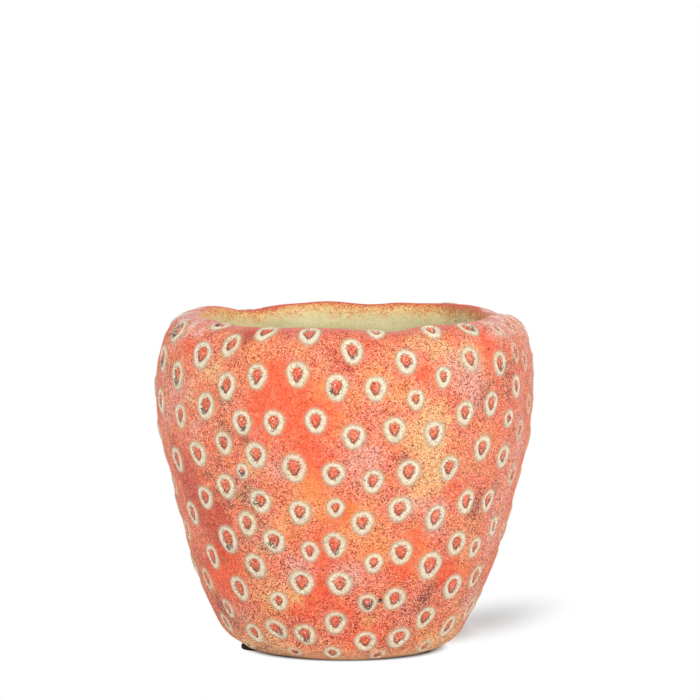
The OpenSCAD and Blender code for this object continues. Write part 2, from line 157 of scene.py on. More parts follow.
# Washes of paint over the coral ground: turn, climb, reach in mm, strength
WASHES = {
    "warm": (
        (8, 160, 9, 0.8), (3, 150, 7, 0.6), (-12, 106, 11, 0.9), (-14, 92, 10, 0.7), (-22, 88, 8, 0.6),
        (4, 96, 9, 0.7), (10, 84, 10, 0.8), (14, 134, 7, 0.6), (20, 150, 9, 0.7), (30, 150, 7, 0.5),
        (36, 126, 9, 0.5), (34, 90, 8, 0.6), (48, 64, 9, 0.6), (-28, 172, 9, 0.8), (-14, 176, 9, 0.6),
        (-32, 160, 7, 0.5), (-30, 44, 10, 0.8), (-36, 30, 9, 0.6), (12, 42, 6, 0.4), (4, 72, 7, 0.4),
        (-7, 156, 7, 0.6), (14, 156, 7, 0.6), (0, 140, 6, 0.5), (28, 132, 7, 0.5), (-25, 108, 8, 0.4),
        (-7, 97, 8, 0.5), (-20, 86, 8, 0.5), (0, 84, 7, 0.7), (28, 82, 8, 0.5), (49, 84, 8, 0.5), (14, 74, 8, 0.8),
        (28, 72, 7, 0.4), (28, 61, 7, 0.5), (-37, 60, 8, 0.7), (42, 116, 7, 0.6), (35, 20, 8, 0.6),
        (-21, 20, 8, 0.6), (44, 84, 8, 0.5), (52, 40, 9, 0.6), (52, 13, 14, 0.9), (40, 24, 10, 0.7),
        (48, 130, 8, 0.5), (16, 176, 9, 0.5),
    ),
    "straw": (
        (26, 126, 10, 1.0), (27, 112, 8, 0.8), (23, 102, 7, 0.6), (30, 138, 8, 0.6), (30, 176, 9, 0.7),
        (36, 168, 7, 0.6), (23, 184, 8, 0.6), (64, 60, 9, 0.5), (60, 30, 9, 0.6), (66, 44, 9, 0.5),
        (-31, 46, 7, 0.6), (-27, 58, 6, 0.5), (-42, 162, 8, 0.6), (-39, 174, 7, 0.4), (-45, 13, 12, 0.8),
        (-62, 12, 12, 0.7), (48, 11, 13, 0.9), (64, 14, 12, 0.8), (-20, 86, 6, 0.4), (8, 150, 5, 0.4),
        (26, 144, 9, 0.6), (20, 131, 8, 0.6), (-30, 119, 8, 0.8), (-20, 50, 7, 0.6), (-28, 97, 7, 0.5),
        (30, 107, 7, 0.5), (-40, 12, 9, 0.5), (40, 12, 9, 0.6), (-10, 24, 8, 0.3), (66, 34, 10, 0.5),
        (54, 22, 9, 0.6), (-30, 24, 7, 0.5), (-34, 12, 8, 0.6), (-50, 24, 8, 0.4), (-50, 162, 9, 0.3),
        (-52, 145, 8, 0.5), (24, 108, 7, 0.6), (40, 168, 9, 1.0), (10, 36, 7, 0.5), (-29, 72, 6, 0.4),
        (66, 86, 8, 0.4), (31, 58, 6, 0.4), (-66, 46, 7, 0.4), (-40, 184, 7, 0.5),
    ),
    "pale": (
        (-60, 150, 12, 0.7), (-68, 136, 10, 0.6), (-34, 112, 7, 0.5), (-20, 116, 8, 0.7), (6, 124, 9, 0.8),
        (3, 110, 7, 0.5), (-16, 66, 8, 0.8), (0, 61, 10, 0.9), (38, 158, 8, 0.8), (40, 146, 6, 0.5),
        (60, 118, 9, 0.6), (64, 136, 9, 0.6), (60, 84, 9, 0.6), (66, 70, 8, 0.6), (66, 152, 8, 0.5),
        (62, 178, 8, 0.5), (-66, 172, 9, 0.5), (-10, 184, 7, 0.5), (-48, 36, 7, 0.4), (24, 44, 6, 0.4),
        (-28, 134, 6, 0.4), (12, 106, 6, 0.4), (-50, 130, 7, 0.4), (64, 98, 12, 0.8), (70, 122, 10, 0.7),
        (31, 61, 7, 0.6), (30, 86, 7, 0.6), (-50, 132, 8, 0.4), (70, 40, 10, 0.6), (60, 44, 8, 0.5),
        (-70, 156, 8, 0.4), (34, 168, 8, 0.6), (41, 167, 9, 0.5), (86, 174, 13, 1.0), (86, 150, 12, 0.7),
        (-84, 150, 12, 0.6), (62, 72, 7, 0.6), (40, 156, 7, 0.6), (22, 97, 7, 0.7), (31, 98, 8, 0.7),
        (31, 84, 8, 0.6), (66, 36, 10, 0.7), (62, 60, 7, 0.4), (68, 108, 8, 0.5),
    ),
    "vivid": (
        (-22, 158, 13, 1.0), (-21, 142, 13, 0.9), (-11, 129, 10, 0.8), (-8, 117, 9, 0.7), (-3, 142, 8, 0.5),
        (-54, 60, 12, 0.9), (-45, 66, 9, 0.7), (-9, 73, 9, 0.8), (-8, 55, 9, 0.9), (-17, 43, 10, 0.7),
        (0, 41, 8, 0.6), (26, 80, 10, 0.9), (21, 64, 10, 0.8), (39, 59, 9, 0.7), (12, 30, 10, 0.6), (2, 24, 8, 0.5),
        (24, 163, 6, 0.7), (48, 174, 10, 0.8), (36, 104, 7, 0.6), (-56, 172, 8, 0.6), (-52, 122, 6, 0.4),
        (-2, 92, 6, 0.4), (-30, 184, 8, 0.5), (52, 132, 7, 0.4), (-50, 50, 10, 0.6), (-8, 85, 8, 0.6),
        (-60, 50, 9, 0.5), (6, 178, 8, 0.4), (-10, 144, 9, 0.8), (-10, 108, 8, 0.8), (0, 96, 8, 0.9),
        (-10, 156, 7, 0.5), (-4, 155, 8, 0.5), (-30, 134, 7, 0.5), (-20, 83, 6, 0.6), (9, 72, 7, 0.8),
        (-60, 145, 7, 0.3), (51, 157, 6, 0.4), (-16, 48, 8, 0.4), (-2, 72, 7, 0.5), (-40, 60, 7, 0.4),
        (51, 108, 6, 0.4), (-50, 108, 7, 0.4), (41, 60, 7, 0.5), (50, 58, 7, 0.5), (30, 46, 6, 0.3),
    ),
    "deep": (
        (-47, 92, 10, 1.0), (-53, 83, 9, 0.7), (-62, 108, 13, 0.9), (-60, 93, 10, 0.7), (-66, 120, 9, 0.6),
        (-43, 76, 8, 0.6), (-60, 62, 7, 0.4), (-34, 184, 9, 0.6), (42, 52, 9, 0.5), (-8, 60, 5, 0.4),
        (20, 22, 8, 0.4), (60, 172, 8, 0.4), (14, 70, 6, 0.3), (-18, 34, 7, 0.4), (-50, 82, 11, 0.6),
        (-50, 70, 9, 0.5), (-60, 98, 10, 0.5), (-61, 37, 9, 0.6), (-70, 60, 9, 0.5), (-32, 183, 8, 0.7),
        (0, 97, 6, 0.6), (-72, 178, 10, 0.4), (-12, 180, 7, 0.4), (1, 171, 8, 0.9), (-61, 113, 11, 0.6),
        (-10, 182, 7, 0.6), (12, 182, 6, 0.4), (-51, 84, 8, 0.5), (-61, 28, 7, 0.3), (-48, 90, 7, 0.7),
        (41, 62, 6, 0.4), (-50, 180, 7, 0.4), (0, 97, 6, 0.4), (-20, 24, 6, 0.4),
    ),
    "soot": (
        (-38, 132, 7, 0.8), (-38, 150, 7, 0.8), (-34, 102, 9, 0.9), (-30, 89, 7, 0.7), (-33, 121, 6, 0.5),
        (-24, 76, 7, 0.6), (-35, 62, 7, 0.7), (-36, 78, 6, 0.5), (-47, 110, 6, 0.5), (-48, 12, 10, 0.7),
        (-64, 160, 9, 0.6), (-70, 178, 9, 0.6), (-26, 31, 7, 0.5), (-56, 30, 9, 0.6), (21, 110, 5, 0.5),
        (20, 97, 5, 0.5), (56, 52, 6, 0.4), (48, 156, 6, 0.5), (-34, 8, 9, 0.8), (-46, 6, 8, 0.7), (-24, 7, 7, 0.5),
        (10, 12, 8, 0.4), (-12, 12, 8, 0.5), (-41, 120, 6, 0.5), (-41, 99, 6, 0.4),
    ),
    "umber": (
        (32, 46, 10, 0.7), (37, 36, 8, 0.4), (48, 92, 9, 0.8), (57, 100, 9, 0.6), (45, 146, 8, 0.6),
        (56, 153, 10, 0.6), (62, 166, 9, 0.6), (-66, 36, 9, 0.5), (18, 121, 5, 0.9), (-40, 75, 6, 0.6),
        (-60, 163, 8, 0.5), (-18, 23, 7, 0.5), (1, 178, 6, 0.6), (60, 128, 9, 0.5), (-50, 100, 8, 0.5),
        (-38, 184, 7, 0.4), (20, 30, 6, 0.4), (-46, 52, 5, 0.4), (-62, 36, 9, 0.6), (-41, 97, 7, 0.8),
        (-31, 131, 5, 0.6), (-33, 180, 6, 0.5),
    ),
}
UNSEEN_WASHES = 22  # of each kind, round the sides and back
# The ranges that their turns, climbs, reaches and strengths are drawn from
UNSEEN_TURN, UNSEEN_CLIMB, UNSEEN_REACH, UNSEEN_STRENGTH = (88, 272), (8, 186), (8, 16), (0.4, 0.95)
WEAK, WEAKER = ("soot", "umber"), 0.65  # the dark kinds are smaller and fainter there

# ---------------------------------------------------------------- how finely the pieces are made
SECTORS = 144          # round the inside, the underside and the two edges of the wall
CURVE_STEPS = 40       # along each curve of the outline
LAYOUT_STEPS = 5       # along each curve of the coarse outline that the seeds are laid out on
WALL_STEP = 2.5        # between points of the plain wall, mm
EDGE_STEP = 1.5        # between points near the foot and the lip, mm
LOOP_POINTS = 24       # round each loop of a seed
# A seed's loops, where 0 is the hole's edge and 1 the bead's foot, and how high each stands, of the rise
LOOP_AT = (-0.8, -0.45, -0.2, -0.06, 0.08, 0.24, 0.45, 0.72, 1.0, 1.3, 1.6)
LOOP_RISE = (0.22, 0.14, 0.06, 0.14, 0.62, 0.96, 1.0, 0.76, 0.4, 0.12, 0.0)
CLEAR_OF_SEED = 1.85   # plain points stay this far out
FINE_LOW, FINE_HIGH = 24, 10  # the wall is finer below this climb and this near the crest, mm
ROW_SHARE = 0.88       # of a step from one row of points to the next
SHAKE_TURN, SHAKE_CLIMB = 0.12, 0.1  # how far plain points stray, of a step
EDGE_GAP = 0.8         # seed points stay this far from the wall's two edges, mm
HOLE_RINGS = ((0, 1), (0.45, 6), (0.85, 10), (1.15, 10), (1.6, 10))  # round an air hole: radius in its own, points
HOLE_CLEAR, HOLE_REACH, HOLE_DEPTH = 2.4, 3, 1.3  # in radii of an air hole
SEAM = 0.2             # how far the rolled out wall overlaps itself, in radians
FLAT_DEPTH = 2.5       # the depth mark of places that belong to no seed
UNDER_RINGS, FLOOR_RINGS = (38, 28, 18, 11), (17, 21, 25, 29, 33, 37)  # radii of plain rings, mm
ROUND_STEPS, WELL_STEPS = 8, 18  # up the round above the floor, and along each curve up to the mouth
SOFT_EDGE, CHAMFER = 0.8, 0.25  # how far the drain's and the seat's edges are rounded, mm
SAME_POINT = 1e-5      # points closer than this are joined, m


def smooth(low, high, x):
    t = np.clip((np.asarray(x, float) - low) / (high - low), 0, 1)
    return t * t * (3 - 2 * t)


def off_turn(turn, at):
    """Degrees from one turn to another, the short way round."""
    return (np.asarray(turn, float) - at + 180) % 360 - 180


def bump(turn, at, half):
    return np.exp(-((off_turn(turn, at) / half) ** 2))


def lean(degrees):
    return np.array([math.sin(math.radians(degrees)), math.cos(math.radians(degrees))])


def bezier(start, leave, arrive, end, steps):
    """Points from start to end, without the last, leaving along one arrow and arriving along another."""
    start, end, leave, arrive = (np.array(p, float) for p in (start, end, leave, arrive))
    t = np.linspace(0, 1, steps, endpoint=False)[:, None]
    k = 1 - t
    return k**3 * start + 3 * k * k * t * (start + leave) + 3 * k * t * t * (end - arrive) + t**3 * end


def third(a, b):
    return np.linalg.norm(np.subtract(b, a)) / 3


class Outline:
    """The pot's section as radius and height above the underside, in mm."""

    def __init__(self, pot):
        self.belly_r, self.belly_h, self.pot_h = pot.belly_d / MM / 2, pot.belly_h / MM, pot.pot_h / MM
        self.mouth_r, self.lip_w, self.lip_drop = pot.mouth_d / MM / 2, pot.lip_w / MM, pot.lip_drop / MM
        self.crest = (self.mouth_r + self.lip_w, self.pot_h)
        self.foot = (pot.foot_d / MM / 2, 0)
        self.corner = (pot.corner_d / MM / 2, pot.corner_h / MM)
        self.waist = (pot.waist_d / MM / 2, pot.waist_h / MM)
        self.belly = (self.belly_r, self.belly_h)
        self.mouth = (self.mouth_r, self.pot_h - self.lip_drop)
        self.hollow = (self.belly_r - pot.wall_t / MM, self.belly_h - NECK_DROP)
        self.floor_r, self.floor_t = pot.floor_r / MM, pot.floor_t / MM
        self.floor_in = pot.floor_d / MM / 2
        self.well = (self.floor_in + self.floor_r, self.floor_t + self.floor_r)

    def outside(self, steps):
        shoulder = self.pot_h - self.belly_h
        low, mid = third(self.corner, self.waist), third(self.waist, self.belly)
        return np.vstack([
            bezier(self.foot, (FOOT_PULL * (self.corner[0] - self.foot[0]), 0),
                   CORNER_PULL * self.corner[1] * lean(LEAN_CORNER), self.corner, steps),
            bezier(self.corner, low * lean(LEAN_CORNER), low * lean(LEAN_WAIST), self.waist, steps),
            bezier(self.waist, mid * lean(LEAN_WAIST), (0, mid), self.belly, steps),
            bezier(self.belly, (0, BELLY_PULL * shoulder), (-CREST_PULL * (self.belly_r - self.crest[0]), 0),
                   self.crest, steps + 2),
            [self.crest],
        ])

    def lip(self, steps):
        return np.vstack([
            bezier(self.crest, (-LIP_PULL * self.lip_w, 0), (0, -MOUTH_PULL * self.lip_drop), self.mouth, steps),
            [self.mouth],
        ])

    def inner_wall(self, steps):
        """From the mouth down to the round above the floor."""
        neck, side = third(self.mouth, self.hollow), third(self.hollow, self.well)
        return np.vstack([
            bezier(self.mouth, (0, -neck), (0, -neck), self.hollow, steps),
            bezier(self.hollow, (0, -side), side * -lean(LEAN_CORNER), self.well, steps),
            [self.well],
        ])


def lengths_along(points):
    return np.concatenate([[0], np.cumsum(np.linalg.norm(np.diff(points, axis=0), axis=1))])


class Wall:
    """The outer surface from the underside's edge over the lip to the mouth, by turn and by climb."""

    def __init__(self, pot):
        self.pot = pot
        self.outline = Outline(pot)
        self.lift = pot.pad_t / MM
        outside, lip = self.outline.outside(CURVE_STEPS), self.outline.lip(CURVE_STEPS)
        section = np.vstack([outside, lip[1:]])
        self.climbs = lengths_along(section)
        self.crest = lengths_along(outside)[-1]
        self.end = self.climbs[-1]
        self.radii, self.heights = section.T
        mean_r = (self.radii[1:] + self.radii[:-1]) / 2
        self.spread = np.concatenate([[0], np.cumsum(np.diff(self.climbs) / mean_r)])

    def folds(self, turn):
        return self.pot.fold_scale * sum(depth * bump(turn, at, half) for at, depth, dip, half in FOLDS)

    def wave(self, turn):
        t = np.radians(turn)
        dips = sum(dip * bump(turn, at, half) for at, depth, dip, half in FOLDS)
        return self.pot.wave_scale * (WAVE_ALL + WAVE_FRONT * np.cos(t) - WAVE_SIDES * np.cos(2 * t) - dips)

    def flat(self, turn, height):
        fade = smooth(0, FLAT_LOW, height) * (1 - smooth(*FLAT_TOP, height))
        return self.pot.flat_spot / MM * bump(turn, FLAT_TURN, FLAT_HALF) * fade

    def inner_share(self, height):
        o = self.outline
        return smooth(o.pot_h - 5 * o.lip_drop, o.pot_h, height)

    def place(self, turn, climb):
        """Points of the smooth wall, in mm."""
        o = self.outline
        radius, height = np.interp(climb, self.climbs, self.radii), np.interp(climb, self.climbs, self.heights)
        within = climb > self.crest
        fold_share = np.where(within, self.inner_share(height),
                              smooth(o.belly_h - FOLD_BELOW, o.belly_h + FOLD_ABOVE, height))
        wave_share = np.where(within, self.inner_share(height), smooth(o.belly_h, o.pot_h, height))
        r = radius - self.folds(turn) * fold_share - self.flat(turn, height)
        t = np.radians(turn)
        return np.column_stack([r * np.sin(t), -r * np.cos(t), self.lift + height + self.wave(turn) * wave_share])

    def out(self, turn, climb):
        """The way straight out of the wall at each point."""
        nudge = 0.15
        across = self.place(turn + nudge, climb) - self.place(turn - nudge, climb)
        low, high = np.clip(climb - nudge, 0, self.end), np.clip(climb + nudge, 0, self.end)
        up = self.place(turn, high) - self.place(turn, low)
        n = np.cross(across, up)
        return n / np.linalg.norm(n, axis=1)[:, None]


def lay_out_seeds(wall, seeds):
    """The seeds by turn, climb, size and lean: the front's own, then a golden-angle spiral round the rest."""
    coarse = wall.outline.outside(LAYOUT_STEPS)
    climbs = lengths_along(coarse)
    mean_r = (coarse[1:, 0] + coarse[:-1, 0]) / 2
    areas = np.concatenate([[0], np.cumsum(np.diff(climbs) * mean_r)])
    front = [(t, c * climbs[-1] / SEED_WALL, s, *lean_left) for t, c, s, *lean_left in FRONT_SEEDS]
    spiral = []
    for i in range(seeds.spiral_count):
        uneven = [math.sin(math.radians(i * k)) for k in (97, 151, 61, 43)]
        turn = float(off_turn(i * GOLDEN_TURN, 0)) + STRAY_TURN * uneven[0]
        climb = np.interp((i + 0.5) / seeds.spiral_count, areas / areas[-1], climbs) + STRAY_CLIMB * uneven[1]
        if abs(turn) <= SPIRAL_FROM or not SPIRAL_LOW < climb < SPIRAL_HIGH:
            continue
        r = np.interp(climb, climbs, coarse[:, 0])
        near = min(math.hypot(math.radians(off_turn(t, turn)) * r, c - climb) for t, c, *_ in front)
        if near > SPIRAL_CLEAR:
            spiral.append((turn, climb, SIDE_SIZE + STRAY_SIZE * uneven[2], STRAY_LEAN * uneven[3]))
    return front, spiral


def teardrop_reach(width, length, tip, way):
    """How far a teardrop with its point down reaches from its middle, in each direction."""
    big = width / 2
    small = tip * big
    top, drop = length / 2 - big, length - big - small
    reach = np.zeros_like(way)
    for k in np.linspace(0, 1, 16):
        middle, radius = top - k * drop, big + k * (small - big)
        inside = np.clip(radius**2 - (middle * np.cos(way)) ** 2, 0, None)
        reach = np.maximum(reach, middle * np.sin(way) + np.sqrt(inside))
    return reach


class Seed:
    """One seed: where it sits, how it leans and how uneven its rim is."""

    WAYS = np.radians(np.arange(-180, 181, 3))

    def __init__(self, turn, climb, size, lean_left, sizes, rng, ink, wash):
        self.turn, self.climb = turn, climb
        self.lean = math.radians(lean_left)
        self.ink, self.wash = ink, wash
        self.tone = rng.uniform(0, 1)
        self.rise = sizes.rise / MM * rng.uniform(*RISE_SPREAD) * (0.75 + 0.25 * size)
        width, length = size * sizes.width / MM, size * sizes.length / MM
        bead = sizes.bead / MM * (0.5 + 0.5 * size)
        wobble, hole_wobble = (
            sum(rng.uniform(0, amount) * np.cos(k * self.WAYS + rng.uniform(0, 2 * math.pi))
                for k, amount in RIM_WAVES)
            for _ in range(2)
        )
        self.outer = teardrop_reach(width, length, RIM_TIP, self.WAYS) * (1 + wobble)
        self.inner = teardrop_reach(width - 2 * bead, length - 2 * bead, HOLE_TIP, self.WAYS)
        self.inner *= 1 + wobble + hole_wobble

    def local(self, x, y):
        """Distance and direction from the seed's middle, in the seed's own upright."""
        return np.hypot(x, y), (np.arctan2(y, x) - self.lean + math.pi) % (2 * math.pi) - math.pi

    def depth_at(self, x, y):
        """0 at the hole's edge, 1 at the bead's foot, more outside, less in the hole."""
        far, way = self.local(x, y)
        inner, outer = np.interp(way, self.WAYS, self.inner), np.interp(way, self.WAYS, self.outer)
        return (far - inner) / (outer - inner), way

    def loop(self, at, points, start):
        way = start + np.arange(points) * 2 * math.pi / points
        way = (way + math.pi) % (2 * math.pi) - math.pi
        inner, outer = np.interp(way, self.WAYS, self.inner), np.interp(way, self.WAYS, self.outer)
        far = np.maximum(inner + at * (outer - inner), 0.12)
        return far * np.cos(way + self.lean), far * np.sin(way + self.lean)


class Skin:
    """Points of the outer wall with all the relief and paint marks that each of them carries."""

    def __init__(self, wall, front, spiral, sizes):
        self.wall = wall
        rng = np.random.default_rng(SEED_DRAWS)
        keys = [(t, c) for t, c, *_ in FRONT_SEEDS]
        self.seeds = [
            Seed(t, c, s, lean_left[0] if lean_left else rng.uniform(*OWN_LEAN), sizes, rng,
                 INKED.get(key), WASHED.get(key, 1.0))
            for (t, c, s, *lean_left), key in zip(front, keys)
        ]
        for t, c, s, lean_left in spiral:
            ink = None
            if rng.random() < INKED_SHARE:
                ink = (rng.normal(*INK_WAY), rng.uniform(*INK_SPREAD), rng.uniform(*INK_STRENGTH))
            wash = 1 - SIDE_WASH * rng.random() ** 3
            if any(abs(t - at) < FAINT_TURN and abs(c - up) < FAINT_CLIMB for at, up in FAINT):
                ink, wash = None, FAINT_WASH
            self.seeds.append(Seed(t, c, s, lean_left, sizes, rng, ink, wash))
        self.rng = rng

    def around(self, turn, climb, at, reach):
        """The points near a place, with their offsets from it across and up the wall, in mm."""
        x = np.radians(off_turn(turn, at[0])) * np.interp(climb, self.wall.climbs, self.wall.radii)
        y = climb - at[1]
        near = np.flatnonzero((abs(x) < reach) & (abs(y) < reach))
        return near, x[near], y[near]

    def nearest(self, turn, climb):
        """For each point the seed that it belongs to, how far into it, and which way from its middle."""
        owner = np.full(len(turn), -1)
        depth = np.full(len(turn), 9.0)
        way = np.zeros(len(turn))
        for i, seed in enumerate(self.seeds):
            near, x, y = self.around(turn, climb, (seed.turn, seed.climb), SEED_REACH)
            d, w = seed.depth_at(x, y)
            closer = d < depth[near]
            picked = near[closer]
            owner[picked], depth[picked], way[picked] = i, d[closer], w[closer]
        return owner, depth, way

    def seed_points(self):
        """A middle and loops for each seed, save where a nearer seed or an edge of the wall takes over."""
        wall = self.wall
        turns, climbs, owners = [], [], []
        for i, seed in enumerate(self.seeds):
            x, y, start = [0.0], [0.0], self.rng.uniform(0, 1)
            for k, at in enumerate(LOOP_AT):
                count = LOOP_POINTS // 2 if k == 0 else LOOP_POINTS
                loop = seed.loop(at, count, start + k * math.pi / count)
                x, y = np.append(x, loop[0]), np.append(y, loop[1])
            climbs.append(seed.climb + y)
            turns.append(seed.turn + np.degrees(x / np.interp(climbs[-1], wall.climbs, wall.radii)))
            owners.append(np.full(len(x), i))
        turn, climb, own = (np.concatenate(v) for v in (turns, climbs, owners))
        kept = (climb > EDGE_GAP) & (climb < wall.end - EDGE_GAP) & (self.nearest(turn, climb)[0] == own)
        return turn[kept], climb[kept]

    def plain_points(self):
        """Rows round the wall between the seeds and the air holes."""
        wall, rng = self.wall, self.rng
        turns, climbs, at = [], [], EDGE_STEP
        while at < wall.end - 0.6 * EDGE_STEP:
            step = EDGE_STEP if at < FINE_LOW or at > wall.crest - FINE_HIGH else WALL_STEP
            count = round(2 * math.pi * np.interp(at, wall.climbs, wall.radii) / step)
            along = np.arange(count) + rng.uniform(0, 1) + rng.uniform(-SHAKE_TURN, SHAKE_TURN, count)
            turns.append(along * 360 / count)
            climbs.append(at + rng.uniform(-SHAKE_CLIMB, SHAKE_CLIMB, count) * step)
            at += ROW_SHARE * step
        turn, climb = np.concatenate(turns), np.concatenate(climbs)
        kept = self.nearest(turn, climb)[1] > CLEAR_OF_SEED
        for *hole, r in AIR_HOLES:
            near, x, y = self.around(turn, climb, hole, HOLE_REACH * r)
            kept[near[np.hypot(x, y) < HOLE_CLEAR * r]] = False
        return turn[kept], climb[kept]

    def hole_points(self):
        """Rings round each air hole."""
        turns, climbs = [], []
        for hole_t, hole_c, r in AIR_HOLES:
            radius = np.interp(hole_c, self.wall.climbs, self.wall.radii)
            for share, count in HOLE_RINGS:
                way = np.arange(count) * 2 * math.pi / count + share
                turns.append(hole_t + np.degrees(share * r * np.cos(way) / radius))
                climbs.append(hole_c + share * r * np.sin(way))
        return np.concatenate(turns), np.concatenate(climbs)

    def points(self):
        """Turns and climbs of all points, down to the rings that the wall's two edges share with the inside."""
        kinds = self.seed_points(), self.plain_points(), self.hole_points()
        turn, climb = (np.concatenate(v) for v in zip(*kinds))
        turn = turn + self.rng.uniform(-1e-3, 1e-3, len(turn))
        turn = (turn + 180) % 360 - 180
        edge = np.arange(SECTORS) * 360 / SECTORS - 180
        ends = np.zeros(SECTORS), np.full(SECTORS, self.wall.end)
        return np.concatenate([turn, edge, edge]), np.concatenate([climb, *ends])

    def triangles(self, turn, climb):
        """The points joined up on the wall rolled out flat, so that the seam closes like any other place."""
        wall = self.wall
        u, v = np.radians(turn), np.interp(climb, wall.climbs, wall.spread)
        index = np.arange(len(u))
        right, left = u < -math.pi + SEAM, u > math.pi - SEAM
        all_u = np.concatenate([u, u[right] + 2 * math.pi, u[left] - 2 * math.pi])
        all_v = np.concatenate([v, v[right], v[left]])
        back = np.concatenate([index, index[right], index[left]])
        found = delaunay_2d_cdt([Vector(p) for p in zip(all_u, all_v)], [], [], 0, 1e-9)
        first = np.array([ids[0] for ids in found[3]])
        faces = first[np.array(found[2])]
        middle = all_u[faces].mean(axis=1)
        faces = faces[(middle >= -math.pi) & (middle < math.pi)]
        return back[faces]

    def relief(self, turn, climb, depth, owner):
        """How far each point stands out from the smooth wall, in mm."""
        rise = np.array([s.rise for s in self.seeds] + [0.0])[owner]
        out = np.interp(depth, LOOP_AT, LOOP_RISE) * rise
        for *hole, r in AIR_HOLES:
            near, x, y = self.around(turn, climb, hole, HOLE_REACH * r)
            out[near] -= HOLE_DEPTH * r * (1 - smooth(0.5, 1.25, np.hypot(x, y) / r))
        return out


def lumps(points, rng_seed, length, amount):
    """A slow unevenness, as left by hands: the same place always gives the same height."""
    rng, waves = np.random.default_rng(rng_seed), 7
    out = np.zeros(len(points))
    for _ in range(waves):
        way = rng.normal(size=3)
        way *= 2 * math.pi / (length * rng.uniform(0.7, 1.5) * np.linalg.norm(way))
        out += np.sin(points @ way + rng.uniform(0, 2 * math.pi))
    return amount * out / math.sqrt(waves / 2)


# ---------------------------------------------------------------- hand tools
def rest_hands():
    if bpy.context.object and bpy.context.object.mode != "OBJECT":
        bpy.ops.object.mode_set(mode="OBJECT")
    bpy.ops.object.select_all(action="DESELECT")


def take(obj):
    rest_hands()
    obj.select_set(True)
    bpy.context.view_layer.objects.active = obj
    return obj


def start_ring(name, radius, height, sides):
    """A ring of edges round the upright axis, in edit mode with all of it selected. Sizes in mm."""
    rest_hands()
    bpy.ops.mesh.primitive_circle_add(
        vertices=sides, radius=radius * MM, fill_type="NOTHING", location=(0, 0, height * MM))
    bpy.ops.object.transform_apply(location=True, rotation=True, scale=True)
    obj = bpy.context.object
    obj.name = obj.data.name = name
    bpy.ops.object.mode_set(mode="EDIT")
    bpy.ops.mesh.select_all(action="SELECT")
    return obj


def draw_rings(start, rings):
    """Extrudes the selected ring through the given radii and heights, in mm."""
    r, h = start
    for radius, height in rings:
        bpy.ops.mesh.extrude_edges_move(TRANSFORM_OT_translate={"value": (0, 0, (height - h) * MM)})
        bpy.ops.transform.resize(value=(radius / r, radius / r, 1), center_override=(0, 0, height * MM))
        r, h = radius, height


def soft_edge(radius, height, up=-1):
    """Three rings that round the edge of a hole, from its side to the face at that height."""
    return [
        (radius, height + SOFT_EDGE * up), (radius + CHAMFER, height + CHAMFER * up), (radius + SOFT_EDGE, height)
    ]


def cap_open_end(rim):
    """In edit mode, fills the ring that is still open and insets the new face by so many mm."""
    bpy.ops.mesh.select_all(action="DESELECT")
    bpy.ops.mesh.select_mode(type="EDGE")
    bpy.ops.mesh.select_non_manifold()
    bpy.ops.mesh.edge_face_add()
    bpy.ops.mesh.inset(thickness=rim * MM)


def coordinates(obj):
    co = np.empty(len(obj.data.vertices) * 3, np.float64)
    obj.data.vertices.foreach_get("co", co)
    return co.reshape(-1, 3) / MM


def put_coordinates(obj, points):
    obj.data.vertices.foreach_set("co", (points * MM).ravel())
    obj.data.update()


def mark(obj, name, values):
    """Keeps one number at each point of a piece, for its paint."""
    layer = obj.data.attributes.new(name, "FLOAT", "POINT")
    layer.data.foreach_set("value", np.asarray(values, np.float32))


def close_up(obj):
    take(obj)
    bpy.ops.object.mode_set(mode="EDIT")
    bpy.ops.mesh.select_all(action="SELECT")
    bpy.ops.mesh.remove_doubles(threshold=SAME_POINT)
    bpy.ops.mesh.normals_make_consistent(inside=False)
    bpy.ops.object.mode_set(mode="OBJECT")
    bpy.ops.object.shade_smooth()


# ---------------------------------------------------------------- paint and finishes
def maths(operation, swapped=False):
    """An arithmetic sign between two numbers of a material."""
    def act(one, other):
        values = (other, one) if swapped else (one, other)
        return one.recipe.node("ShaderNodeMath", {"operation": operation}, dict(enumerate(values)))
    return act


class Flow:
    """A number on its way through a material. Arithmetic on it adds Math nodes."""

    def __init__(self, recipe, socket):
        self.recipe, self.socket = recipe, socket

    __add__ = __radd__ = maths("ADD")
    __sub__, __rsub__ = maths("SUBTRACT"), maths("SUBTRACT", swapped=True)
    __mul__ = __rmul__ = maths("MULTIPLY")
    less = maths("MINIMUM")

    def beside(self, out):
        """Another output of the same node."""
        return Flow(self.recipe, self.socket.node.outputs[out])

    def held(self):
        """Kept between 0 and 1."""
        return self.recipe.node("ShaderNodeMath", {"operation": "ADD", "use_clamp": True}, {0: self, 1: 0.0})

    def between(self, low, high):
        """0 below low and 1 above high, with a soft step from one to the other."""
        return self.recipe.node(
            "ShaderNodeMapRange", {"interpolation_type": "SMOOTHSTEP"},
            {"Value": self, "From Min": low, "From Max": high},
        )


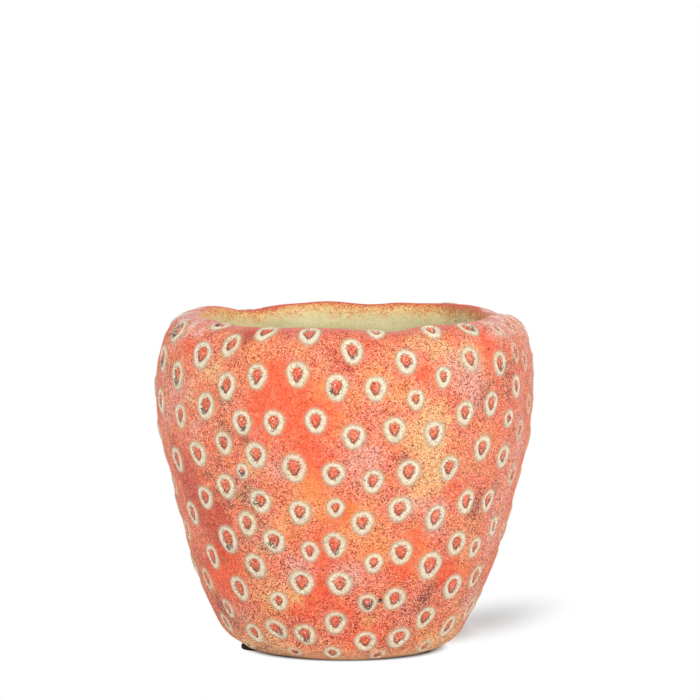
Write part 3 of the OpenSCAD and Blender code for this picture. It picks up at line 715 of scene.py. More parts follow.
class Recipe:
    """One material, from its colours to its surface."""

    def __init__(self, name, **surface):
        self.material = bpy.data.materials.new(name)
        self.material.use_nodes = True
        self.tree = self.material.node_tree
        self.tree.nodes.clear()
        self.output = self.tree.nodes.new("ShaderNodeOutputMaterial")
        self.shader = self.tree.nodes.new("ShaderNodeBsdfPrincipled")
        self.tree.links.new(self.shader.outputs[0], self.output.inputs[0])
        for socket, value in surface.items():
            self.shader.inputs[socket.replace("_", " ")].default_value = value
        self.where = self.node("ShaderNodeTexCoord", out="Object")

    def node(self, kind, settings=None, values=None, out=0):
        """Any node: its settings first, then the values or links of its sockets."""
        node = self.tree.nodes.new(kind)
        for name, value in (settings or {}).items():
            setattr(node, name, value)
        for name, value in (values or {}).items():
            if isinstance(value, Flow):
                self.tree.links.new(value.socket, node.inputs[name])
            else:
                node.inputs[name].default_value = value
        return Flow(self, node.outputs[out])

    def noise(self, length, detail=2.0, rough=0.5, shift=(0, 0, 0), squeeze=(1, 1, 1)):
        """Clouds about the given length in mm across, centred on a half."""
        place = self.node("ShaderNodeMapping", None, {"Vector": self.where, "Location": shift, "Scale": squeeze})
        return self.node("ShaderNodeTexNoise", None, {
            "Vector": place, "Scale": 1 / (length * MM), "Detail": detail, "Roughness": rough})

    def spots(self, length):
        """Grains the given length in mm apart: how far the nearest is, in spacings, and its own two numbers."""
        far = self.node("ShaderNodeTexVoronoi", None, {"Vector": self.where, "Scale": 1 / (length * MM)}, "Distance")
        red = self.node("ShaderNodeSeparateColor", None, {0: far.beside("Color")}, "Red")
        return far, red, red.beside("Green")

    def marked(self, name):
        return self.node("ShaderNodeAttribute", {"attribute_name": name}, None, "Fac")

    def mix(self, amount, under, over, blend="MIX"):
        """One colour laid over another."""
        colours = {i: c if isinstance(c, Flow) else (*c, 1) for i, c in ((6, under), (7, over))}
        return self.node("ShaderNodeMix", {"data_type": "RGBA", "blend_type": blend}, {0: amount, **colours}, 2)

    def layers(self, ground, *coats):
        """Coats of paint over a ground, each given as how much of it there is and its colour."""
        for amount, colour in coats:
            ground = self.mix(amount, ground, colour)
        return ground

    def rough_to(self, height, depth, strength=1.0):
        """Bumps of the given depth in mm."""
        return self.node("ShaderNodeBump", None, {"Height": height, "Distance": depth * MM, "Strength": strength})

    def finish(self, **links):
        for socket, flow in links.items():
            self.tree.links.new(flow.socket, self.shader.inputs[socket.replace("_", " ")])
        return self.material


def paint(red, green, blue):
    """A colour as it is written on screen, from 0 to 255, for a colour property."""
    return tuple((c / 255 / 12.92) if c <= 10 else ((c / 255 + 0.055) / 1.055) ** 2.4 for c in (red, green, blue))


def painted_cement(colours, crest):
    """Washes of coral, orange, red and pink over cement, rubbed off the seeds' rims, cream inside."""
    r = Recipe("painted_cement", Sheen_Weight=0.1, Sheen_Roughness=0.4, Sheen_Tint=(1.0, 0.88, 0.85, 1.0))
    climb, depth, lower, ink, wash, tone, glint = (
        r.marked(name) for name in ("climb", "depth", "lower", "ink", "wash", "tone", "glint"))
    cloud, drift = r.noise(16, 3, 0.55), r.noise(38, 2, 0.5, (0.3, 0, 0))
    blotch, mottle = r.noise(5, 3, 0.6, (0, 0, 0.4)), r.noise(2.6, 2, 0.6, (0.1, 0.5, 0))
    grit, chaff = r.noise(1.1, 2, 0.8), r.noise(1.0, 2, 0.8, (0, 0.2, 0))
    hues = r.noise(6, 5, 0.7, (0.4, 0.2, 0))
    streaks = r.noise(7, 3, 0.6, (0.7, 0, 0), (1, 1, 0.12))
    grain, sand, hue = r.spots(0.46)

    def washed(name, low, high, loose):
        return (r.marked(name) + (cloud - 0.5) * loose + (grit - 0.5) * 0.7 + (blotch - 0.5)).between(low, high)

    # The ground with its washes, then light dust and dark grains
    vivid, deep = washed("vivid", 0.15, 0.75, 1.0), washed("deep", 0.2, 0.85, 0.9)
    warm, straw = washed("warm", 0.15, 0.8, 1.0), washed("straw", 0.15, 0.8, 1.0)
    pale, soot = washed("pale", 0.15, 0.85, 1.0), washed("soot", 0.2, 0.9, 0.9)
    umber = washed("umber", 0.25, 0.9, 0.9)
    low = 1 - climb.between(30, 110)
    # The band round the bottom: the paint's own yellow, kept light as painted light from the floor below
    foot = 1 - (climb + (blotch - 0.5) * 26 + (grit - 0.5) * 14).between(7, 26)
    dusted = (sand + (mottle - 0.5) * 0.7 + (cloud - 0.5) * 0.4 + pale * 0.2).between(0.45, 0.95)
    peppered = (1 - sand + (blotch - 0.5) * 0.5 + (soot + umber + low * 0.4) * 0.15).between(0.45, 1.0)
    # fewer dark grains on the band round the bottom, part of that painted light
    peppered = (peppered * (1.0 + (soot + umber + low - vivid * 2) * 0.25 - foot * 0.8)).held()
    body = r.layers(
        colours.coral,
        (((drift - 0.5) * 2.4 + 0.5).held(), colours.coral_light),
        (hues.between(0.46, 0.62) * 0.36, colours.amber),
        ((1 - hues).between(0.46, 0.62) * 0.36, colours.rose),
        (vivid * 0.92, colours.vivid),
        (deep * 0.8, colours.red),
        (warm * 0.85, colours.orange),
        (straw * 0.92, colours.straw),
        (pale * 0.85, colours.pink),
        (soot * 0.72, colours.soot),
        (umber * 0.7, colours.umber),
        (mottle.between(0.5, 0.68) * 0.22, colours.amber),
        ((1 - mottle).between(0.5, 0.68) * 0.22, colours.rose),
        (foot * 0.75, colours.foot),
        (dusted * (0.33 - vivid * 0.22 - deep * 0.17), colours.dust),
    )
    body = r.mix(peppered, body, colours.brick, "MULTIPLY")

    # The inside: cream, with gold and its grains just under the lip, and painted shade at the right end of the well
    lip = climb - crest
    east = r.node("ShaderNodeSeparateXYZ", None, {0: r.where}, "X")
    north, shade = east.beside("Y"), east.between(0.04, 0.058)
    gold = 1 - (lip + (blotch - 0.5) * 8 + (cloud - 0.5) * 8).between(3, 12)
    grains = sand * 0.55 + grit * 0.7
    # brown grains gather toward the right end of the well: painted shade
    brown = (1.25 - grains + shade * 0.25).between(0.82, 0.95) * (gold * 0.3 + shade * 0.5).held()
    inner = r.layers(
        colours.cream,
        (blotch.between(0.4, 0.62) * 0.4 + streaks.between(0.45, 0.65) * 0.4, colours.cream_green),
        (chaff.between(0.58, 0.7) * 0.3, colours.rim_dirt),
        (gold * 0.7, colours.gold),
        ((grains + gold * 0.12).between(0.74, 0.86) * (gold * 0.8 + 0.1), colours.rust),
        (brown, colours.brown),
        (hue.between(0.84, 0.9) * 0.16, colours.brown),
    )

    # The lip: a paler pink band just below its crest in front, bleached streaks at its two ends, a rusty crest with
    # bare bits at the back
    crest_band = (1 - lip.between(-1, 2.5)) * lip.between(-8, -3) * (0.35 + (chaff - 0.5) * 2.6)
    ends = (east * east).between(0.05**2, 0.078**2) * lip.between(-22, -5)
    worn = ends * (0.42 + (streaks - 0.5) * 5 + (chaff - 0.5) * 3 + (sand - 0.5) * 0.8)
    behind = north.between(0, 0.06)
    ragged = lip + (mottle - 0.5) * 5 + (chaff - 0.5) * 2
    edge = ragged.between(-3, 0) * (1 - ragged.between(0.8, 5.5)) * behind
    edge = edge * (0.95 + (chaff - 0.5) * 2.4 + (sand - 0.5) * 1.2)
    bits = lip.between(-6, -2) * (1 - lip.between(-1, 1)) * behind * mottle.between(0.5, 0.6)
    under = r.mix(blotch.between(0.35, 0.7) * 0.6, colours.raw, colours.foot)
    body = r.layers(
        body,
        (hue.between(0.8, 0.9) * 0.35, colours.orange),
        (lip.between(-15, -4) * (0.26 + cloud * 0.3), colours.red),
        (crest_band.held() * 0.9, colours.pink),
        (worn.held() * 0.72, colours.worn),
        ((lip + (grit - 0.5) * 4 + (blotch - 0.5) * 3).between(0.6, 2.6), inner),
        (edge.held() * 0.92, colours.rust),
        (bits * 0.8, colours.worn),
        (climb.between(-1, -4), under),
    )

    # The seeds: coral in the hole, painted shade in the crease, the rubbed rim with a lighter band that is partly a
    # painted highlight, a halo, the dirt, and painted highlights in some holes
    frayed = depth + (grit - 0.5) * 0.6 + (chaff - 0.5) * 0.5 + (sand - 0.5) * 0.45
    ring = frayed.between(-0.26, 0.04) * (1 - frayed.between(0.8, 1.2)) * wash
    # A lighter band from the hole's edge over the bead's crest: partly rubbed clean, partly a painted highlight
    core = frayed.between(-0.02, 0.26) * (1 - frayed.between(0.38, 0.9))
    veil = frayed.between(0.6, 1.0) * (1 - frayed.between(1.0, 1.6)) * wash
    # The crease: painted shade where a rim meets its hole, deeper on the hole's lower side
    crease = depth.between(-0.6, -0.16) * (1 - depth.between(-0.14, 0.1)) * (lower * 0.45 + 0.5 + (grit - 0.5) * 1.6)
    far, own, _ = r.spots(2.1)
    speck = (1 - far.between(0.1, 0.2)) * own.between(0.86, 0.87)
    black = (ink * (1 + (grit - 0.5) * 2.6 + (sand - 0.5) * 1.6)).between(0.4, 0.7)
    # The rim's colour: grey flanks that are partly dirt and partly painted shade, under that lighter band
    cast_rim = r.layers(
        colours.rim_grey,
        (tone * 0.5 + mottle.between(0.45, 0.65) * 0.5, colours.rim_yellow),
        ((1 - sand).between(0.5, 0.9) * 0.75, colours.rim_dirt),
        ((core * (0.9 - tone * 0.25) + (sand - 0.5) * 0.8).held(), colours.rim),
    )
    in_hole = r.layers(
        colours.coral,
        (tone * 0.3 + blotch.between(0.4, 0.65) * 0.3, colours.red),
        ((1 - sand).between(0.65, 0.85) * 0.5, colours.crease),
        (sand.between(0.75, 0.85) * 0.45, colours.dust),
    )
    body = r.layers(
        body,
        ((1 - depth.between(-0.26, -0.02)) * 0.7, in_hole),
        (veil * (0.62 - vivid * 0.15), colours.halo),
        (ring * 0.96, cast_rim),
        (crease.held() * 0.9, colours.crease),
        (speck * ring * 0.8, colours.ink),
        (black * 0.88, colours.ink),
        # the painted highlights in some holes
        (glint.between(0.3, 0.7), colours.rim),
        (ink.between(0.2, 0.5) * hue.between(0.8, 0.84) * 0.8, colours.rim),
    )
    return r.finish(
        Base_Color=body,
        Roughness=(0.8 + (grit - 0.5) * 0.3 + ring * 0.05).held(),
        Normal=r.rough_to(grit * 0.9 + sand * 0.5 - grain * 0.3 + blotch * 0.8, 0.65),
    )


def moulded_rubber(name, colour, edge, fine):
    """Dull black rubber with a dusty bloom and the fine pitting of its mould."""
    r = Recipe(name, Specular_IOR_Level=0.4)
    cloud, pits = r.noise(fine * 9, 3, 0.6), r.noise(fine, 2, 0.6)
    body = r.mix(cloud.between(0.4, 0.7) * 0.7, colour, edge)
    return r.finish(
        Base_Color=body, Roughness=(0.66 + (cloud - 0.5) * 0.3).held(), Normal=r.rough_to(pits, fine * 0.25, 0.6)
    )


# ---------------------------------------------------------------- sizes and colours a user would change
def length(name, value, text):
    return FloatProperty(name=name, description=text, default=value * MM, min=0, unit="LENGTH", precision=4)


def tint(name, rgb, text):
    return FloatVectorProperty(name=name, description=text, default=paint(*rgb), min=0, max=1, size=3, subtype="COLOR")


class PotSizes(bpy.types.PropertyGroup):
    belly_d: length("Belly diameter", 190.4, "Greatest diameter of the pot")
    belly_h: length("Belly height", 130, "Height of the belly above the underside")
    waist_d: length("Waist diameter", 172.4, "Diameter part of the way up the side")
    waist_h: length("Waist height", 80, "Height of the waist above the underside")
    corner_d: length("Corner diameter", 125, "Diameter where the side meets the rounded bottom")
    corner_h: length("Corner height", 10, "Height of that corner above the underside")
    foot_d: length("Foot diameter", 90, "Diameter of the flat underside")
    pot_h: length("Pot height", 167, "Height from the underside to the top of the lip")
    mouth_d: length("Mouth diameter", 144, "Narrowest diameter of the mouth")
    lip_w: length("Lip width", 5, "Width of the lip's roll")
    lip_drop: length("Lip drop", 8, "Depth of the narrowest ring below the crest")
    wall_t: length("Wall thickness", 15, "Thickness of the wall at the belly")
    floor_d: length("Floor diameter", 84, "Diameter of the flat floor inside")
    floor_r: length("Floor round", 10, "Radius between the floor and the inner wall")
    floor_t: length("Floor thickness", 16, "Thickness of the floor")
    pad_t: length("Pad thickness", 2, "Thickness of a foot pad, which the pot stands on")
    flat_spot: length("Flat spot", 2.2, "Depth of the flat spot low on the right side")
    fold_scale: FloatProperty(name="Folds", description="Strength of the folds", default=1, min=0, max=1.5)
    wave_scale: FloatProperty(name="Waves", description="Strength of the rim's waves", default=1, min=0, max=1.5)


class SeedSizes(bpy.types.PropertyGroup):
    width: length("Seed width", 11, "Width of a full-size seed rim")
    length: length("Seed height", 12.4, "Height of a full-size seed rim")
    bead: length("Bead width", 2.6, "Width of the rim's raised bead")
    rise: length("Bead height", 0.8, "How far the bead stands out from the wall")
    spiral_count: IntProperty(name="Spiral seeds", description="Seeds the spiral is drawn for", default=244, min=120)


class SmallPartSizes(bpy.types.PropertyGroup):
    drain_d: length("Drain diameter", 14, "Diameter of the drain hole")
    seat_d: length("Seat diameter", 26, "Diameter of the seat for the plug's head")
    seat_h: length("Seat depth", 3.5, "Depth of the seat in the floor")
    head_d: length("Plug head", 22, "Diameter of the plug's head")
    head_t: length("Plug head thickness", 3, "Thickness of the plug's head")
    stem_d: length("Plug stem", 13.9, "Diameter of the plug's stem")
    stem_l: length("Plug stem length", 11, "Length of the stem under the head")
    pad_d: length("Pad diameter", 16, "Diameter of a foot pad")
    pad_reach: length("Pad reach", 42, "Distance of the back pad from the pot's middle")


class PlanterColours(bpy.types.PropertyGroup):
    coral: tint("Coral", (239, 103, 64), "Ground of the outside")
    coral_light: tint("Light coral", (240, 124, 83), "Lighter places of the ground")
    orange: tint("Orange", (248, 148, 72), "Warm washes")
    vivid: tint("Vivid orange", (250, 84, 38), "Bright washes")
    red: tint("Red", (200, 42, 22), "Deep washes")
    amber: tint("Amber", (250, 152, 62), "Warm mottling")
    rose: tint("Rose", (238, 104, 104), "Pink mottling")
    straw: tint("Straw", (244, 194, 124), "Yellow washes")
    pink: tint("Pink", (230, 150, 136), "Pale washes")
    soot: tint("Olive grey", (172, 142, 102), "Patina of the hollows")
    umber: tint("Umber", (150, 76, 56), "Dark washes")
    dust: tint("Dust", (255, 228, 208), "Light specks and rubbed edges")
    brick: tint("Brick", (152, 60, 40), "Tint of the dark specks")
    # Foot: partly painted light from the floor below
    foot: tint("Foot", (255, 200, 138), "The band round the bottom")
    worn: tint("Worn lip", (240, 222, 214), "Bleached streaks at the two ends of the lip")
    gold: tint("Gold", (250, 196, 104), "Just inside the crest of the lip")
    rust: tint("Rust", (212, 64, 28), "Red grains in the gold")
    brown: tint("Brown", (140, 84, 46), "Dark grains in the gold")
    cream: tint("Cream", (250, 240, 194), "Inside")
    cream_green: tint("Green cream", (240, 234, 176), "Inside, in places")
    raw: tint("Raw cement", (206, 192, 162), "The underside")
    # Rim: the rubbed rims, their lighter band partly a painted highlight, and the painted highlights in the holes
    rim: tint("Rim", (240, 228, 204), "Rubbed rims of the seeds")
    # Grey rim: partly dirt, partly painted shade on the beads' flanks
    rim_grey: tint("Grey rim", (212, 199, 176), "Rims that kept some dirt")
    rim_yellow: tint("Yellow rim", (228, 218, 172), "Rims that kept some wash")
    rim_dirt: tint("Rim dirt", (146, 134, 106), "Grains of dirt on the rims")
    halo: tint("Halo", (176, 140, 112), "Round the rims")
    # Crease: painted shade where a rim meets its hole; also the dark grains in the holes
    crease: tint("Crease", (96, 50, 38), "Where a rim meets its hole")
    # Ink: dirt in the rims; in the air holes it is painted shade
    ink: tint("Ink", (38, 32, 26), "Dirt in the rims and air holes")
    rubber: tint("Rubber", (34, 34, 33), "The drain plug")
    bloom: tint("Bloom", (72, 71, 68), "Dust on the rubber")
    foam: tint("Foam", (16, 16, 17), "The foot pads")
    floor: tint("Floor", (244, 244, 244), "The floor of the stage")


# Where the hand-stuck pads sit: turn, and how much further out than the back one in mm
PADS = {"left": (-83, 2.8), "right": (70, -4.7), "back": (174, 0)}

# Where the floor's shade shows, in m. Under the pot it fades out between two ellipses, given by their
# reach to the front and the squeeze of their width
CONTACT, CONTACT_SQUEEZE = (0.036, 0.042), (0.78, 1, 1)
# Elsewhere in ellipses: place, turn, half axes, and from what share of them it fades.
# The first lies to the right, the second close behind the pot
SHADOWS = (
    ((0.077, 0.077, 0), math.radians(65), (0.09, 0.038, 1), 0),
    ((0.026, 0.05, 0), 0, (0.06, 0.06, 1), 0.5),
)
SHADE = (0.71, 0.755, 0.775, 1)  # of the floor where the shade shows
FLOOR_SIZE, FLOOR_AT = 14, (0, 2, 0)
# The soft lights: place, diameter in m, power in W. All look at the middle of the pot
AIM = Vector((0, 0, 0.09))
LAMPS = {
    "key_light": ((-1.3, -2.0, 2.3), 1.2, 24.5), "fill_light": ((1.9, -1.6, 1.3), 1.6, 16),
    "top_light": ((0.1, -0.4, 2.2), 1.2, 8), "low_light": ((0.2, -2.3, 0.12), 1.4, 16),
    "low_left_light": ((-1.8, -1.6, 0.14), 1.4, 16), "low_right_light": ((1.8, -1.6, 0.14), 1.4, 18.5),
    "back_light": ((0.5, 2.3, 1.5), 1.6, 15),
}
SKY, SKY_POWER = (1, 0.99, 0.97, 1), 0.605
# The camera's place and aim, and the angle that it takes in
CAMERA_AT, CAMERA_AIM, CAMERA_VIEW = Vector((0, -1.7, 0.334)), Vector((0.0025, 0, 0.151)), math.radians(11.75)


# ---------------------------------------------------------------- the pieces
class CastPot(bpy.types.Operator):
    """Cast the pot: its lobed wall with the seeds, its lip, well and drain"""

    bl_idname = "planter.cast_pot"
    bl_label = "Cast the pot"

    def execute(self, context):
        scene = context.scene
        pot, seeds, small = scene.planter_pot, scene.planter_seeds, scene.planter_small
        wall = Wall(pot)
        casting = self.inside(wall, small)
        skin = self.outside(wall, seeds)
        take(casting)
        skin.select_set(True)
        bpy.ops.object.join()
        close_up(casting)
        casting.data.materials.clear()
        casting.data.materials.append(painted_cement(scene.planter_colours, wall.crest))
        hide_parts("pot_shell", "seed_rims")
        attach(casting, "pot")
        return {"FINISHED"}

    def outside(self, wall, sizes):
        skin = Skin(wall, *lay_out_seeds(wall, sizes), sizes)
        turn, climb = skin.points()
        owner, depth, way = skin.nearest(turn, climb)
        faces = skin.triangles(turn, climb)
        base = wall.place(turn, climb)
        edge = smooth(0, 6, climb) * smooth(0, 4, wall.end - climb)
        out = skin.relief(turn, climb, depth, owner) * smooth(0, 2, climb) * smooth(0, 2, wall.end - climb)
        out = out + edge * sum(lumps(base, *kind) for kind in LUMPS)
        points = base + wall.out(turn, climb) * out[:, None]
        mesh = bpy.data.meshes.new("pot_skin")
        mesh.from_pydata((points * MM).tolist(), [], faces.tolist())
        obj = bpy.data.objects.new("pot_skin", mesh)
        bpy.context.scene.collection.objects.link(obj)
        self.mark_paint(obj, skin, turn, climb, owner, depth, way)
        return obj

    def mark_paint(self, obj, skin, turn, climb, owner, depth, way):
        """Where the rims are rubbed, the holes, the halos, the dirt and the washes, with the painted shade in the air
        holes and the painted highlights in some holes.
        """
        ink, glint = np.zeros(len(turn)), np.zeros(len(turn))
        for i, seed in enumerate(skin.seeds):
            if seed.ink:
                mine = owner == i
                at, spread, strength = seed.ink
                near = np.exp(-((off_turn(np.degrees(way[mine]), at) / spread) ** 4))
                band = np.exp(-(((depth[mine] - 0.12) / 0.42) ** 2))
                ink[mine] = strength * near * band
        # The air holes are painted near black inside: painted shade in the pits
        for *hole, r in AIR_HOLES:
            near, x, y = skin.around(turn, climb, hole, HOLE_REACH * r)
            ink[near] = np.maximum(ink[near], 1.6 * (1 - smooth(0.7, 1.3, np.hypot(x, y) / r)))
        # Painted highlights: small white spots in some holes
        for *bead, r in GLINTS:
            near, x, y = skin.around(turn, climb, bead, 3 * r)
            glint[near] = np.exp(-(x * x + y * y) / r**2)
        # The rims' paint reaches further on each seed's lower side and less on its upper side: painted light that
        # evens out the lit and shaded slopes of the beads
        lopsided = 0.14 * np.cos(way + 1.3) * smooth(0.2, 0.8, depth)
        marks = {
            "climb": climb, "depth": np.clip(depth - lopsided, -1, FLAT_DEPTH), "lower": -np.sin(way),
            "wash": np.array([s.wash for s in skin.seeds] + [1.0])[owner],
            "tone": np.array([s.tone for s in skin.seeds] + [0.0])[owner],
            "ink": ink, "glint": glint,
        }
        for name, values in marks.items():
            mark(obj, name, values)
        rng = np.random.default_rng(WASH_DRAWS)
        for name, patches in WASHES.items():
            mark(obj, name, self.washed(skin, turn, climb, rng, patches, WEAKER if name in WEAK else 1))

    def washed(self, skin, turn, climb, rng, patches, share):
        """How much of one wash is at each point: the front's patches, then others round the sides and back."""
        more = [(rng.uniform(*UNSEEN_TURN), rng.uniform(*UNSEEN_CLIMB),
                 share * rng.uniform(*UNSEEN_REACH), share * rng.uniform(*UNSEEN_STRENGTH))
                for _ in range(UNSEEN_WASHES)]
        left = np.ones(len(turn))
        for *at, reach, strength in (*patches, *more):
            near, x, y = skin.around(turn, climb, at, 2.6 * reach)
            left[near] *= 1 - strength * np.exp(-(x * x + y * y) / reach**2)
        return 1 - left

    def inside(self, wall, small):
        """The underside, the drain, the floor and the inner wall up to the mouth, drawn ring by ring."""
        o, lift = wall.outline, wall.lift
        drain_r, seat_r = small.drain_d / MM / 2, small.seat_d / MM / 2
        seat_h = o.floor_t - small.seat_h / MM
        rings = [
            *((r, 0) for r in UNDER_RINGS), *soft_edge(drain_r, 0, 1)[::-1], (drain_r, 5), (drain_r, 9),
            *soft_edge(drain_r, seat_h), (seat_r - 2, seat_h), (seat_r - 0.5, seat_h), (seat_r, seat_h + 0.5),
            *soft_edge(seat_r, o.floor_t), *((r, o.floor_t) for r in FLOOR_RINGS),
        ]
        for a in np.arange(ROUND_STEPS) * math.pi / 2 / ROUND_STEPS:
            rings.append((o.floor_in + o.floor_r * math.sin(a), o.floor_t + o.floor_r * (1 - math.cos(a))))
        rings += [tuple(p) for p in o.inner_wall(WELL_STEPS)[::-1]]
        foot_r = o.foot[0]
        obj = start_ring("pot_casting", foot_r, lift, SECTORS)
        draw_rings((foot_r, lift), [(r, h + lift) for r, h in rings])
        bpy.ops.object.mode_set(mode="OBJECT")
        p = coordinates(obj)
        r, height = np.hypot(p[:, 0], p[:, 1]), p[:, 2] - lift
        turn = np.degrees(np.arctan2(p[:, 0], -p[:, 1]))
        share = wall.inner_share(height)
        new_r = r - wall.folds(turn) * share
        free = smooth(o.floor_t + 2, o.floor_t + 18, height) * smooth(0, 5, o.mouth[1] - height)
        floor = smooth(o.floor_t - 0.4, o.floor_t, height) * smooth(seat_r + 1, seat_r + 6, r) * (1 - free)
        new_r = new_r + free * lumps(p, *WELL_LUMPS) * (height < o.mouth[1] - 0.1)
        p[:, 2] += wall.wave(turn) * share + floor * (height < o.floor_t + 1) * lumps(p, *FLOOR_LUMPS)
        p[:, 0] *= new_r / r
        p[:, 1] *= new_r / r
        put_coordinates(obj, p)
        # The climb goes on below 0 on the underside and past the wall's end in the well
        under = height < o.floor_t - 0.5
        mark(obj, "climb", np.where(under, -(foot_r - r) * 0.6, wall.end + np.clip(o.mouth[1] - height, 0, 60)))
        for name in ("lower", "ink", "tone", "glint", *WASHES):
            mark(obj, name, np.zeros(len(p)))
        mark(obj, "depth", np.full(len(p), FLAT_DEPTH))
        mark(obj, "wash", np.ones(len(p)))
        return obj


class MouldPlug(bpy.types.Operator):
    """Mould the rubber plug that closes the drain: a domed head with a grip ring, and a tapered stem"""

    bl_idname = "planter.mould_plug"
    bl_label = "Mould the plug"

    def execute(self, context):
        scene = context.scene
        pot, small, colours = scene.planter_pot, scene.planter_small, scene.planter_colours
        head_r, head_t, stem_r = small.head_d / MM / 2, small.head_t / MM, small.stem_d / MM / 2
        seat = (pot.pad_t + pot.floor_t - small.seat_h) / MM
        foot = seat - small.stem_l / MM
        rings = [(stem_r - 0.7, foot), (stem_r - 0.2, foot + 0.25), (stem_r, foot + 0.9), (stem_r, foot + 4),
                 (stem_r - 0.12, foot + 4.5), (stem_r - 0.12, foot + 5.1), (stem_r, foot + 5.6), (stem_r, seat - 1),
                 (stem_r, seat), (head_r - 0.9, seat), (head_r - 0.3, seat + 0.15), (head_r, seat + 0.7),
                 (head_r - 0.05, seat + 1.3), (head_r - 0.5, seat + 1.95), (head_r - 1.5, seat + 2.35),
                 (head_r - 3.0, seat + 2.5), (head_r - 3.6, seat + 2.3), (head_r - 4.3, seat + 2.3),
                 (head_r - 4.9, seat + 2.6), (head_r - 6.5, seat + head_t - 0.18), (3.2, seat + head_t - 0.05),
                 (1.6, seat + head_t), (0.5, seat + head_t)]
        first = (stem_r - 2.5, foot)
        plug = start_ring("rubber_plug", *first, 64)
        draw_rings(first, rings)
        bpy.ops.mesh.edge_face_add()
        cap_open_end(1.2)
        bpy.ops.transform.translate(value=(0, 0, 0.5 * MM))  # a shallow dimple in the end of the stem
        close_up(plug)
        plug.data.materials.append(moulded_rubber("plug_rubber", colours.rubber, colours.bloom, 0.6))
        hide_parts("drain_plug")
        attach(plug, "plug")
        return {"FINISHED"}


class StickPads(bpy.types.Operator):
    """Cut one foam foot pad with its thin glue layer, and stick a copy at each place under the pot"""

    bl_idname = "planter.stick_pads"
    bl_label = "Stick on the foot pads"

    def execute(self, context):
        scene = context.scene
        pot, small, colours = scene.planter_pot, scene.planter_small, scene.planter_colours
        foam = moulded_rubber("pad_foam", colours.foam, colours.rubber, 0.35)
        radius, thick = small.pad_d / MM / 2, pot.pad_t / MM
        rings = [(radius - 0.25, 0.03), (radius - 0.05, 0.2), (radius, 0.55), (radius + 0.06, thick / 2),
                 (radius, thick - 0.45), (radius - 0.12, thick - 0.25), (radius - 0.12, thick), (radius - 1, thick),
                 (radius - 4, thick)]
        first = (radius - 0.8, 0)
        cut = start_ring("pad", *first, 48)
        draw_rings(first, rings)
        bpy.ops.mesh.edge_face_add()
        cap_open_end(2)
        close_up(cut)
        cut.data.materials.append(foam)
        for name, (turn, stray) in PADS.items():
            away, reach = math.radians(turn), small.pad_reach + stray * MM
            take(cut)
            bpy.ops.object.duplicate()
            pad = bpy.context.object
            pad.name = pad.data.name = f"pad_{name}"
            pad.rotation_euler.z = away
            pad.location = (reach * math.sin(away), -reach * math.cos(away), 0)
            bpy.ops.object.transform_apply(location=True, rotation=True, scale=True)
            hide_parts(f"foot_pad_{name}")
            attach(pad, "pot")
        bpy.data.meshes.remove(cut.data)
        return {"FINISHED"}


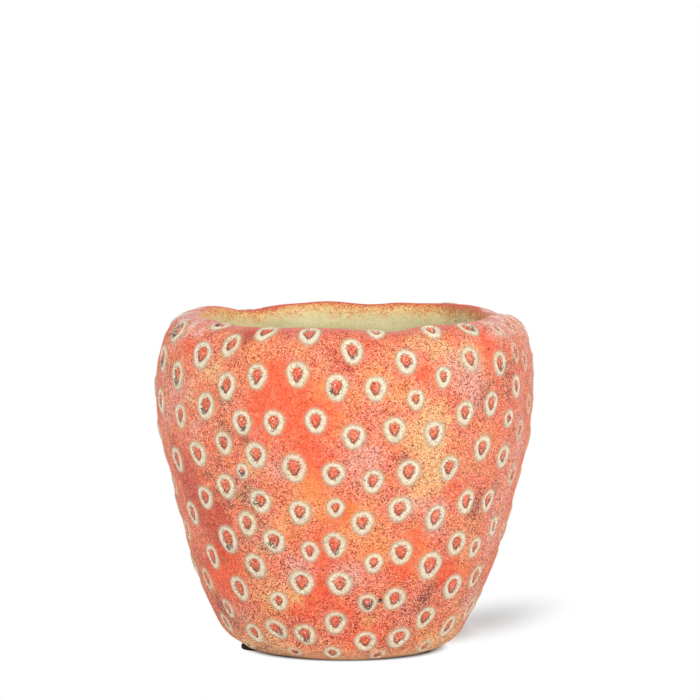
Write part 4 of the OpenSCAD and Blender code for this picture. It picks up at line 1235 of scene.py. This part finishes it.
class SetStage(bpy.types.Operator):
    """Set the white floor, the soft lights and the camera"""

    bl_idname = "planter.set_stage"
    bl_label = "Set the stage"

    def execute(self, context):
        scene = context.scene
        rest_hands()
        bpy.ops.mesh.primitive_plane_add(size=FLOOR_SIZE, location=FLOOR_AT)
        bpy.ops.object.transform_apply(location=True, rotation=True, scale=True)
        floor = bpy.context.object
        floor.name = "stage_floor"
        floor.data.materials.append(self.white_floor(scene.planter_colours.floor))
        self.sky(scene)
        for name, lamp in LAMPS.items():
            self.lamp(name, *lamp)
        camera = bpy.data.objects.new("camera", bpy.data.cameras.new("camera"))
        scene.collection.objects.link(camera)
        camera.location = CAMERA_AT
        camera.rotation_euler = (CAMERA_AIM - CAMERA_AT).to_track_quat("-Z", "Y").to_euler()
        camera.data.sensor_width = 36
        camera.data.lens = camera.data.sensor_width / 2 / math.tan(CAMERA_VIEW / 2)
        scene.camera = camera
        scene.view_settings.view_transform = "Standard"
        return {"FINISHED"}

    def lamp(self, name, where, size, power):
        light = bpy.data.lights.new(name, "AREA")
        light.shape, light.size, light.energy = "DISK", size, power
        obj = bpy.data.objects.new(name, light)
        bpy.context.scene.collection.objects.link(obj)
        obj.location = where
        obj.rotation_euler = (AIM - Vector(where)).to_track_quat("-Z", "Y").to_euler()

    def white_floor(self, colour):
        """Matte floor. The camera sees it as white, save under the pot and where its shadow falls."""
        r = Recipe("white_floor", Roughness=0.95, Specular_IOR_Level=0.1)
        r.shader.inputs["Base Color"].default_value = (*colour, 1)
        lit = Flow(r, r.shader.outputs[0])
        round_pot = r.node("ShaderNodeMapping", None, {"Vector": r.where, "Scale": CONTACT_SQUEEZE})
        under = r.node("ShaderNodeVectorMath", {"operation": "LENGTH"}, {0: round_pot}, "Value")
        clear = under.between(*CONTACT)
        for at, turn, reach, full in SHADOWS:
            along = r.node("ShaderNodeMapping", {"vector_type": "TEXTURE"}, {
                "Vector": r.where, "Location": at, "Rotation": (0, 0, turn), "Scale": reach})
            away = r.node("ShaderNodeVectorMath", {"operation": "LENGTH"}, {0: along}, "Value")
            clear = clear.less(away.between(full, 1))
        shaded = r.node("ShaderNodeBsdfDiffuse", None, {"Color": SHADE})
        white = r.node("ShaderNodeEmission", None, {"Color": (1, 1, 1, 1), "Strength": 1.0})
        shown = r.node("ShaderNodeMixShader", None, {0: clear, 1: shaded, 2: white})
        seen = r.node("ShaderNodeLightPath", None, None, "Is Camera Ray")
        both = r.node("ShaderNodeMixShader", None, {0: seen, 1: lit, 2: shown})
        r.tree.links.new(both.socket, r.output.inputs[0])
        return r.material

    def sky(self, scene):
        """White to the camera, soft and even to everything else."""
        world = bpy.data.worlds.new("sky")
        scene.world = world
        world.use_nodes = True
        nodes, links = world.node_tree.nodes, world.node_tree.links
        soft = nodes["Background"]
        soft.inputs["Color"].default_value, soft.inputs["Strength"].default_value = SKY, SKY_POWER
        white = nodes.new("ShaderNodeBackground")
        white.inputs["Color"].default_value = (1, 1, 1, 1)
        path, mix = nodes.new("ShaderNodeLightPath"), nodes.new("ShaderNodeMixShader")
        links.new(path.outputs["Is Camera Ray"], mix.inputs[0])
        links.new(soft.outputs[0], mix.inputs[1])
        links.new(white.outputs[0], mix.inputs[2])
        links.new(mix.outputs[0], nodes["World Output"].inputs[0])


class PlanterPanel(bpy.types.Panel):
    """The planter's pieces, sizes and colours"""

    bl_idname = "VIEW3D_PT_planter"
    bl_label = "Strawberry planter"
    bl_space_type = "VIEW_3D"
    bl_region_type = "UI"
    bl_category = "Planter"

    def draw(self, context):
        for step in STEPS:
            self.layout.operator(step.bl_idname)
        for name, group in GROUPS.items():
            box = self.layout.box()
            box.label(text=group.__name__)
            for prop in group.__annotations__:
                box.prop(getattr(context.scene, name), prop)


GROUPS = {
    "planter_pot": PotSizes, "planter_seeds": SeedSizes, "planter_small": SmallPartSizes,
    "planter_colours": PlanterColours,
}
STEPS = (CastPot, MouldPlug, StickPads, SetStage)


def register():
    for cls in (*GROUPS.values(), *STEPS, PlanterPanel):
        bpy.utils.register_class(cls)
    for name, group in GROUPS.items():
        setattr(bpy.types.Scene, name, PointerProperty(type=group))


def unregister():
    for name in GROUPS:
        delattr(bpy.types.Scene, name)
    for cls in (PlanterPanel, *reversed(STEPS), *reversed(list(GROUPS.values()))):
        bpy.utils.unregister_class(cls)


def main():
    register()
    bpy.ops.planter.cast_pot()
    bpy.ops.planter.mould_plug()
    bpy.ops.planter.stick_pads()
    bpy.ops.planter.set_stage()


if __name__ == "__main__":
    main()
